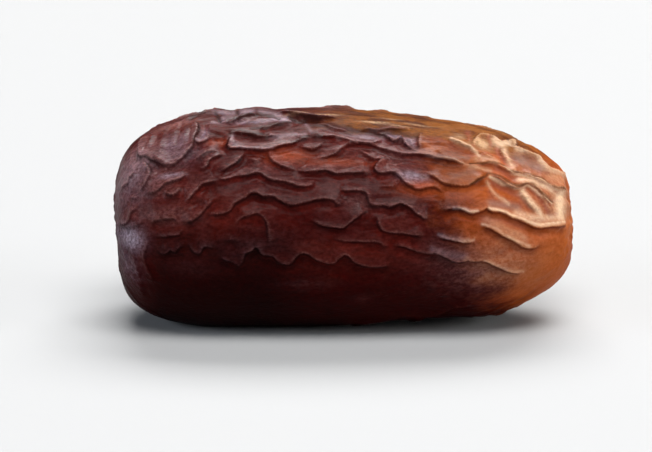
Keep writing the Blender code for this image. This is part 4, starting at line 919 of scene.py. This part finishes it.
def make_skin():
    body = SmoothBody()
    base, _ = body_object(body, "base", BASE_HALVINGS)
    view = NearView(mesh_tree(base.data))
    bpy.data.objects.remove(base, do_unlink=True)
    obj, angle = body_object(body, "date_skin", SKIN_HALVINGS, NEAR_CROWDING)
    mesh = obj.data
    skin = Skin(mesh_points(mesh))
    facing = mesh_normals(mesh) @ -np.array(view.along)
    skin.add_creases(angle, facing)
    near = near_pleats(view)
    taken = np.vstack([pleat.places for pleat in near])
    skin.add_pleats(near + far_pleats(view, taken))
    skin.add_hollows(view)
    skin.add_wrinkles()
    skin.add_scars()
    pale = skin.strokes(view, facing, PALE_HIGHLIGHT_STROKES)
    hollow = skin.strokes(view, facing, RED_AND_SHADE_STROKES)
    dark = skin.strokes(view, facing, GAP_SHADE_STROKES)
    dusk_shade = skin.strokes(view, facing, DUSK_SHADE_STROKES)
    skin.relief += PALE_RISE * pale - RED_DEPTH * hollow - DARK_DEPTH * dark
    fade = smooth_step((skin.smooth_points[:, 2] - REST_CUT) / REST_FADE)
    points = skin.smooth_points + mesh_normals(mesh) * (skin.relief * fade)[:, None]
    points += skin.aside * fade[:, None]
    points[:, 2] = np.maximum(points[:, 2], REST_CUT)
    set_mesh_points(mesh, points)
    # Bloom of wax with painted sheen, more of it on top where the light falls
    high = smooth_step((skin.smooth_points[:, 2] - BLOOM_AND_SHEEN_START) / BLOOM_AND_SHEEN_RISE)
    bloom_and_sheen = np.maximum(skin.patches(view, BLOOM_AND_SHEEN_PATCHES), BLOOM_AND_SHEEN_LEAST + BLOOM_AND_SHEEN_ABOVE * high)
    on_plates = skin.plate * bloom_and_sheen * (1.0 - skin.recess)
    # Colour fields for the material: bloom with painted sheen, painted highlights, painted glow and painted
    # shade, beside the skin's own colours
    fields = {
        "bloom_and_sheen": np.maximum(on_plates, skin.patches(view, HAZE_AND_SHEEN_PATCHES)) * fade,
        "cool_highlight": skin.patches(view, COOL_HIGHLIGHT_PATCHES),
        "dusk_shade": dusk_shade,
        "cream_and_highlight": skin.patches(view, CREAM_AND_HIGHLIGHT_PATCHES),
        "pale": pale,
        "hollow": hollow,
        "dark": dark,
        "glow": skin.patches(view, GLOW_PATCHES),
        "lip": skin.lip * (LIP_HIGHLIGHT_PLAIN + (1.0 - LIP_HIGHLIGHT_PLAIN) * bloom_and_sheen) * fade,
        "fold": skin.fold * fade,
        "recess": skin.recess * fade,
        "scar": skin.scar,
    }
    for name, values in fields.items():
        field = mesh.attributes.new(name, "FLOAT", "POINT")
        field.data.foreach_set("value", values.astype(np.float32))
    # Fewer triangles on the calm skin, with most of those that stay along the pleats
    triangles = 2 * len(mesh.polygons)
    with_modifier(obj, "DECIMATE", ratio=SKIN_TRIANGLES / triangles)
    fit_to_solid(obj.data)
    obj.data.shade_smooth()
    return obj


class Nodes:
    """Short calls for the material's nodes. A socket, a number or a colour may be given for any input."""

    def __init__(self, tree):
        self.tree = tree

    def put(self, node, name, value):
        socket = node.inputs[name]
        if isinstance(value, bpy.types.NodeSocket):
            self.tree.links.new(value, socket)
        elif isinstance(value, tuple) and len(value) == 3 and socket.type == "RGBA":
            socket.default_value = (*value, 1.0)
        else:
            socket.default_value = value

    def new(self, kind, settings=None, **inputs):
        node = self.tree.nodes.new(kind)
        for name, value in (settings or {}).items():
            setattr(node, name, value)
        for name, value in inputs.items():
            self.put(node, name.replace("_", " "), value)
        return node

    def math(self, operation, a, b=0.0, clamp=False):
        node = self.tree.nodes.new("ShaderNodeMath")
        node.operation = operation
        node.use_clamp = clamp
        self.put(node, 0, a)
        self.put(node, 1, b)
        return node.outputs[0]

    def ramp(self, value, low, high, out_low=0.0, out_high=1.0):
        """A smooth rise from out_low to out_high as the value goes from low to high."""
        node = self.tree.nodes.new("ShaderNodeMapRange")
        node.interpolation_type = "SMOOTHSTEP"
        self.put(node, "Value", value)
        self.put(node, "From Min", low)
        self.put(node, "From Max", high)
        self.put(node, "To Min", out_low)
        self.put(node, "To Max", out_high)
        return node.outputs["Result"]

    def mix(self, share, a, b, blend="MIX"):
        node = self.tree.nodes.new("ShaderNodeMix")
        node.data_type = "RGBA"
        node.blend_type = blend
        self.put(node, "Factor", share)
        for index, value in ((6, a), (7, b)):
            self.put(node, index, value)
        return node.outputs[2]

    def tint(self, share, colour, by):
        """The colour, multiplied by another one in this share."""
        return self.mix(share, colour, self.mix(1.0, colour, by, "MULTIPLY"))

    def plus(self, *values):
        return functools.reduce(lambda a, b: self.math("ADD", a, b), values)

    def times(self, *values):
        return functools.reduce(lambda a, b: self.math("MULTIPLY", a, b), values)

    def less(self, value):
        """What the value leaves of 1."""
        return self.math("SUBTRACT", 1.0, value, clamp=True)

    def noise(self, place, along, across, detail, roughness=0.55, distortion=0.0):
        """Noise with these numbers of turns along the fruit and across it for each unit of the place."""
        stretched = self.new("ShaderNodeMapping", Vector=place, Scale=(along, across, across))
        node = self.new("ShaderNodeTexNoise", Vector=stretched.outputs[0], Scale=1.0, Detail=detail)
        self.put(node, "Roughness", roughness)
        self.put(node, "Distortion", distortion)
        return node.outputs[0]

    def field(self, name):
        node = self.tree.nodes.new("ShaderNodeAttribute")
        node.attribute_name = name
        return node.outputs["Fac"]


def skin_material():
    material = bpy.data.materials.new("date_skin")
    material.use_nodes = True
    tree = material.node_tree
    shader = tree.nodes["Principled BSDF"]
    n = Nodes(tree)
    place = n.new("ShaderNodeTexCoord").outputs["Object"]
    scaled = n.new("ShaderNodeVectorMath", {"operation": "SCALE"}, Vector=place, Scale=1.0 / METRES)
    millimetres = scaled.outputs[0]
    x, y, z = n.new("ShaderNodeSeparateXYZ", Vector=millimetres).outputs
    names = ("lip", "fold", "recess", "bloom_and_sheen", "cool_highlight", "cream_and_highlight", "glow", "scar")
    lip, fold, recess, bloom_and_sheen, cool_highlight, cream_and_highlight, glow, scar = (n.field(name) for name in names)
    names = ("pale", "hollow", "dark", "dusk_shade")
    pale_highlight_stroke, hollow_and_shade_stroke, gap_shade_stroke, dusk_shade_stroke = (n.field(name) for name in names)
    broad = n.noise(millimetres, 0.07, 0.16, 3.0)
    blotch = n.noise(millimetres, 0.3, 0.6, 4.0)
    fine = n.noise(millimetres, 2.0, 3.0, 5.0, 0.7)

    # The amber stem end, and the golden strip along the top, a painted glow of light through the thin skin
    stray = n.math("SUBTRACT", blotch, 0.5)
    warm = n.ramp(n.plus(x, n.times(z, WARM_SLANT), n.times(stray, WARM_STRAY)), *WARM_PLACES)
    golden_glow = n.times(
        n.ramp(n.plus(y, n.times(stray, GOLDEN_STRAY)), *GOLDEN_NEAR),
        n.ramp(y, *GOLDEN_FAR),
        n.ramp(x, *GOLDEN_START),
        n.ramp(z, *GOLDEN_HEIGHTS),
    )

    # The clean skin, with painted shade in the recesses and painted glow in the hollows and along the top
    broad_share = n.ramp(broad, 0.35, 0.65)
    colour = n.mix(warm, n.mix(broad_share, *DARK_SKIN), n.mix(broad_share, *AMBER_SKIN))
    # The low skin below a lip: its own red, with painted shade
    deep = n.mix(warm, n.mix(n.ramp(blotch, 0.4, 0.62), *RED_SHADED_RECESS), AMBER_SHADED_RECESS)
    colour = n.mix(n.times(recess, 0.8), colour, deep)
    # Painted glow of light through the flesh
    colour = n.mix(n.times(glow, 0.85), colour, n.mix(warm, *ORANGE_GLOW))
    # Painted glow of light through the thin skin of the top
    gold_glow = n.mix(n.ramp(blotch, 0.4, 0.6), *GOLD_GLOW)
    colour = n.mix(n.times(golden_glow, 0.9), colour, gold_glow)

    # Bloom and wax over it, with painted sheen, painted highlights and painted shade
    # Bloom of wax, with painted sheen on the raised skin
    bloom_and_sheen_share = n.math("MULTIPLY", bloom_and_sheen, n.ramp(fine, 0.3, 0.65, 0.45, 1.2), clamp=True)
    colour = n.mix(n.times(bloom_and_sheen_share, n.less(n.times(golden_glow, 0.6))), colour, n.mix(warm, *BLOOM_AND_SHEEN))
    # Painted cool highlights
    colour = n.mix(n.times(cool_highlight, n.ramp(fine, 0.3, 0.65, 0.4, 1.0)), colour, COOL_HIGHLIGHT)
    # Pale cream flecks, with painted highlights
    colour = n.mix(n.times(cream_and_highlight, n.ramp(fine, 0.25, 0.6, 0.5, 1.0)), colour, CREAM_AND_HIGHLIGHT)
    # The thin skin's red, with painted shade in the grooves and hollows
    colour = n.mix(hollow_and_shade_stroke, colour, n.mix(warm, *THIN_SKIN_AND_SHADE))
    # Painted shade
    colour = n.mix(dusk_shade_stroke, colour, DUSK_SHADE)
    # Wax, with painted highlights on its edges and ridges
    colour = n.mix(n.times(pale_highlight_stroke, n.ramp(fine, 0.25, 0.6, 0.75, 1.0)), colour, n.mix(warm, *WAX_AND_HIGHLIGHT))
    # Painted highlight along the lips
    colour = n.mix(n.times(lip, n.ramp(fine, 0.3, 0.65, 0.25, 0.8)), colour, n.mix(warm, *LIP_HIGHLIGHT))

    # Painted shade in the folds and gaps, the mottle, and painted shade on the low side, the tip's low skin
    # and the top of the stem end
    # Painted shade in the folds below the lips
    colour = n.tint(n.times(fold, 0.92), colour, n.mix(warm, *FOLD_SHADE))
    # Painted shade in the gaps and cracks
    colour = n.mix(gap_shade_stroke, colour, n.mix(warm, *GAP_SHADE))
    mottle = n.ramp(n.noise(millimetres, 0.9, 1.4, 5.0, 0.7), 0.42, 0.60)
    mottle = n.times(mottle, n.ramp(z, *MOTTLE_HEIGHTS, 0.0, 0.8), n.less(warm), n.less(bloom_and_sheen))
    colour = n.mix(mottle, colour, MOTTLE)
    # Painted shade, darker toward the bottom
    low = n.times(n.ramp(z, *LOW_SHADE_HEIGHTS), n.less(n.times(bloom_and_sheen, 0.5)))
    colour = n.tint(low, colour, n.mix(warm, *LOW_SHADE_TINT))
    # Painted shade that makes the tip's low skin nearly black
    dim = n.times(n.ramp(x, *DIM_PLACES), n.ramp(z, *DIM_HEIGHTS), n.ramp(x, *DIM_TIP, 0.2, 1.0))
    colour = n.tint(n.times(dim, n.less(n.math("MAXIMUM", bloom_and_sheen, cool_highlight))), colour, DIM_TINT)
    # Painted shade on the top of the stem end
    top_shade = n.times(n.ramp(x, *TOP_SHADE_PLACES), n.ramp(z, *TOP_SHADE_HEIGHTS), n.ramp(x, *TOP_SHADE_END, 0.1, 1.0))
    colour = n.tint(n.times(top_shade, n.less(golden_glow)), colour, TOP_SHADE_TINT)

    # The scars, and fine speckle everywhere
    woody = n.mix(n.ramp(scar, 0.25, 0.75), n.mix(warm, *WOODY), SCAR_HOLLOW)
    colour = n.mix(n.ramp(scar, 0.04, 0.22, 0.0, 0.9), colour, woody)
    speckle = n.mix(n.ramp(fine, 0.25, 0.75), *SPECKLE)
    colour = n.tint(n.less(n.times(warm, 0.6)), colour, speckle)
    tree.links.new(colour, shader.inputs["Base Color"])

    rough = n.ramp(fine, 0.2, 0.8, 0.38, 0.58)
    rough = n.math("ADD", rough, n.times(fold, 0.15), clamp=True)
    tree.links.new(rough, shader.inputs["Roughness"])

    shader.inputs["Subsurface Weight"].default_value = 0.12
    shader.inputs["Subsurface Radius"].default_value = (1.0, 0.30, 0.10)
    shader.inputs["Subsurface Scale"].default_value = 0.7 * METRES
    shader.inputs["Specular IOR Level"].default_value = 0.02
    # The wax on the raised skin shines, and the low skin is dull
    wax = n.times(n.ramp(z, *WAX_HEIGHTS), n.ramp(blotch, 0.35, 0.6, 0.6, 1.0))
    wax = n.times(wax, n.plus(n.times(bloom_and_sheen, 0.50), 0.06), n.less(golden_glow))
    tree.links.new(wax, shader.inputs["Coat Weight"])
    shader.inputs["Coat Roughness"].default_value = 0.25
    shader.inputs["Coat IOR"].default_value = 1.45

    crinkle = n.noise(millimetres, 1.0, 1.7, 4.0, 0.55, 0.4)
    pores = n.noise(millimetres, 5.0, 6.0, 3.0, 0.6)
    relief = n.plus(crinkle, n.times(pores, 0.25))
    bump = n.new("ShaderNodeBump", Strength=0.55, Distance=0.16 * METRES, Height=relief)
    tree.links.new(bump.outputs[0], shader.inputs["Normal"])
    return material


def add_camera():
    low, high = (Vector(corner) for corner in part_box(NODE))
    frame_width = (high.x - low.x) * FRAME_WIDTH / FRUIT_WIDTH
    pixel = frame_width / FRAME_WIDTH
    along = Vector((0.0, math.cos(VIEW_ELEVATION), -math.sin(VIEW_ELEVATION)))
    up = Vector((0.0, math.sin(VIEW_ELEVATION), math.cos(VIEW_ELEVATION)))
    aim = (low + high) / 2
    aim.x -= (FRUIT_MIDDLE[0] - FRAME_WIDTH / 2) * pixel
    aim += up * (FRUIT_MIDDLE[1] - FRAME_HEIGHT / 2) * pixel
    data = bpy.data.cameras.new("camera")
    data.lens = LENS
    data.sensor_width = SENSOR
    data.clip_start = CLIP_START
    camera = bpy.data.objects.new("camera", data)
    bpy.context.scene.collection.objects.link(camera)
    camera.location = aim - along * (frame_width * LENS / SENSOR)
    camera.rotation_euler = along.to_track_quat("-Z", "Y").to_euler()
    bpy.context.scene.camera = camera


def add_area_light(name, place, size, power, colour):
    data = bpy.data.lights.new(name, "AREA")
    data.shape = "RECTANGLE"
    data.size, data.size_y = size
    data.energy = power
    data.color = colour
    light = bpy.data.objects.new(name, data)
    bpy.context.scene.collection.objects.link(light)
    light.location = place
    light.rotation_euler = (LIGHTS_AIM - Vector(place)).to_track_quat("-Z", "Y").to_euler()


def add_studio():
    mesh = bpy.data.meshes.new("floor")
    bm = bmesh.new()
    bmesh.ops.create_grid(bm, x_segments=1, y_segments=1, size=FLOOR_HALF_SIZE)
    bm.to_mesh(mesh)
    bm.free()
    floor = bpy.data.objects.new("floor", mesh)
    bpy.context.scene.collection.objects.link(floor)
    material = bpy.data.materials.new("floor")
    material.use_nodes = True
    shader = material.node_tree.nodes["Principled BSDF"]
    shader.inputs["Base Color"].default_value = FLOOR_COLOUR
    shader.inputs["Roughness"].default_value = 0.9
    shader.inputs["Specular IOR Level"].default_value = 0.1
    mesh.materials.append(material)

    world = bpy.data.worlds.new("studio")
    world.use_nodes = True
    background = world.node_tree.nodes["Background"]
    background.inputs["Color"].default_value = WORLD_COLOUR
    background.inputs["Strength"].default_value = WORLD_STRENGTH
    bpy.context.scene.world = world
    for name, light in LIGHTS.items():
        add_area_light(name, *light)


def main():
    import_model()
    skin = make_skin()
    skin.data.materials.append(skin_material())
    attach(skin, "root")
    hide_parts(NODE)
    add_camera()
    add_studio()
    bpy.context.scene.view_settings.view_transform = "Standard"


main()
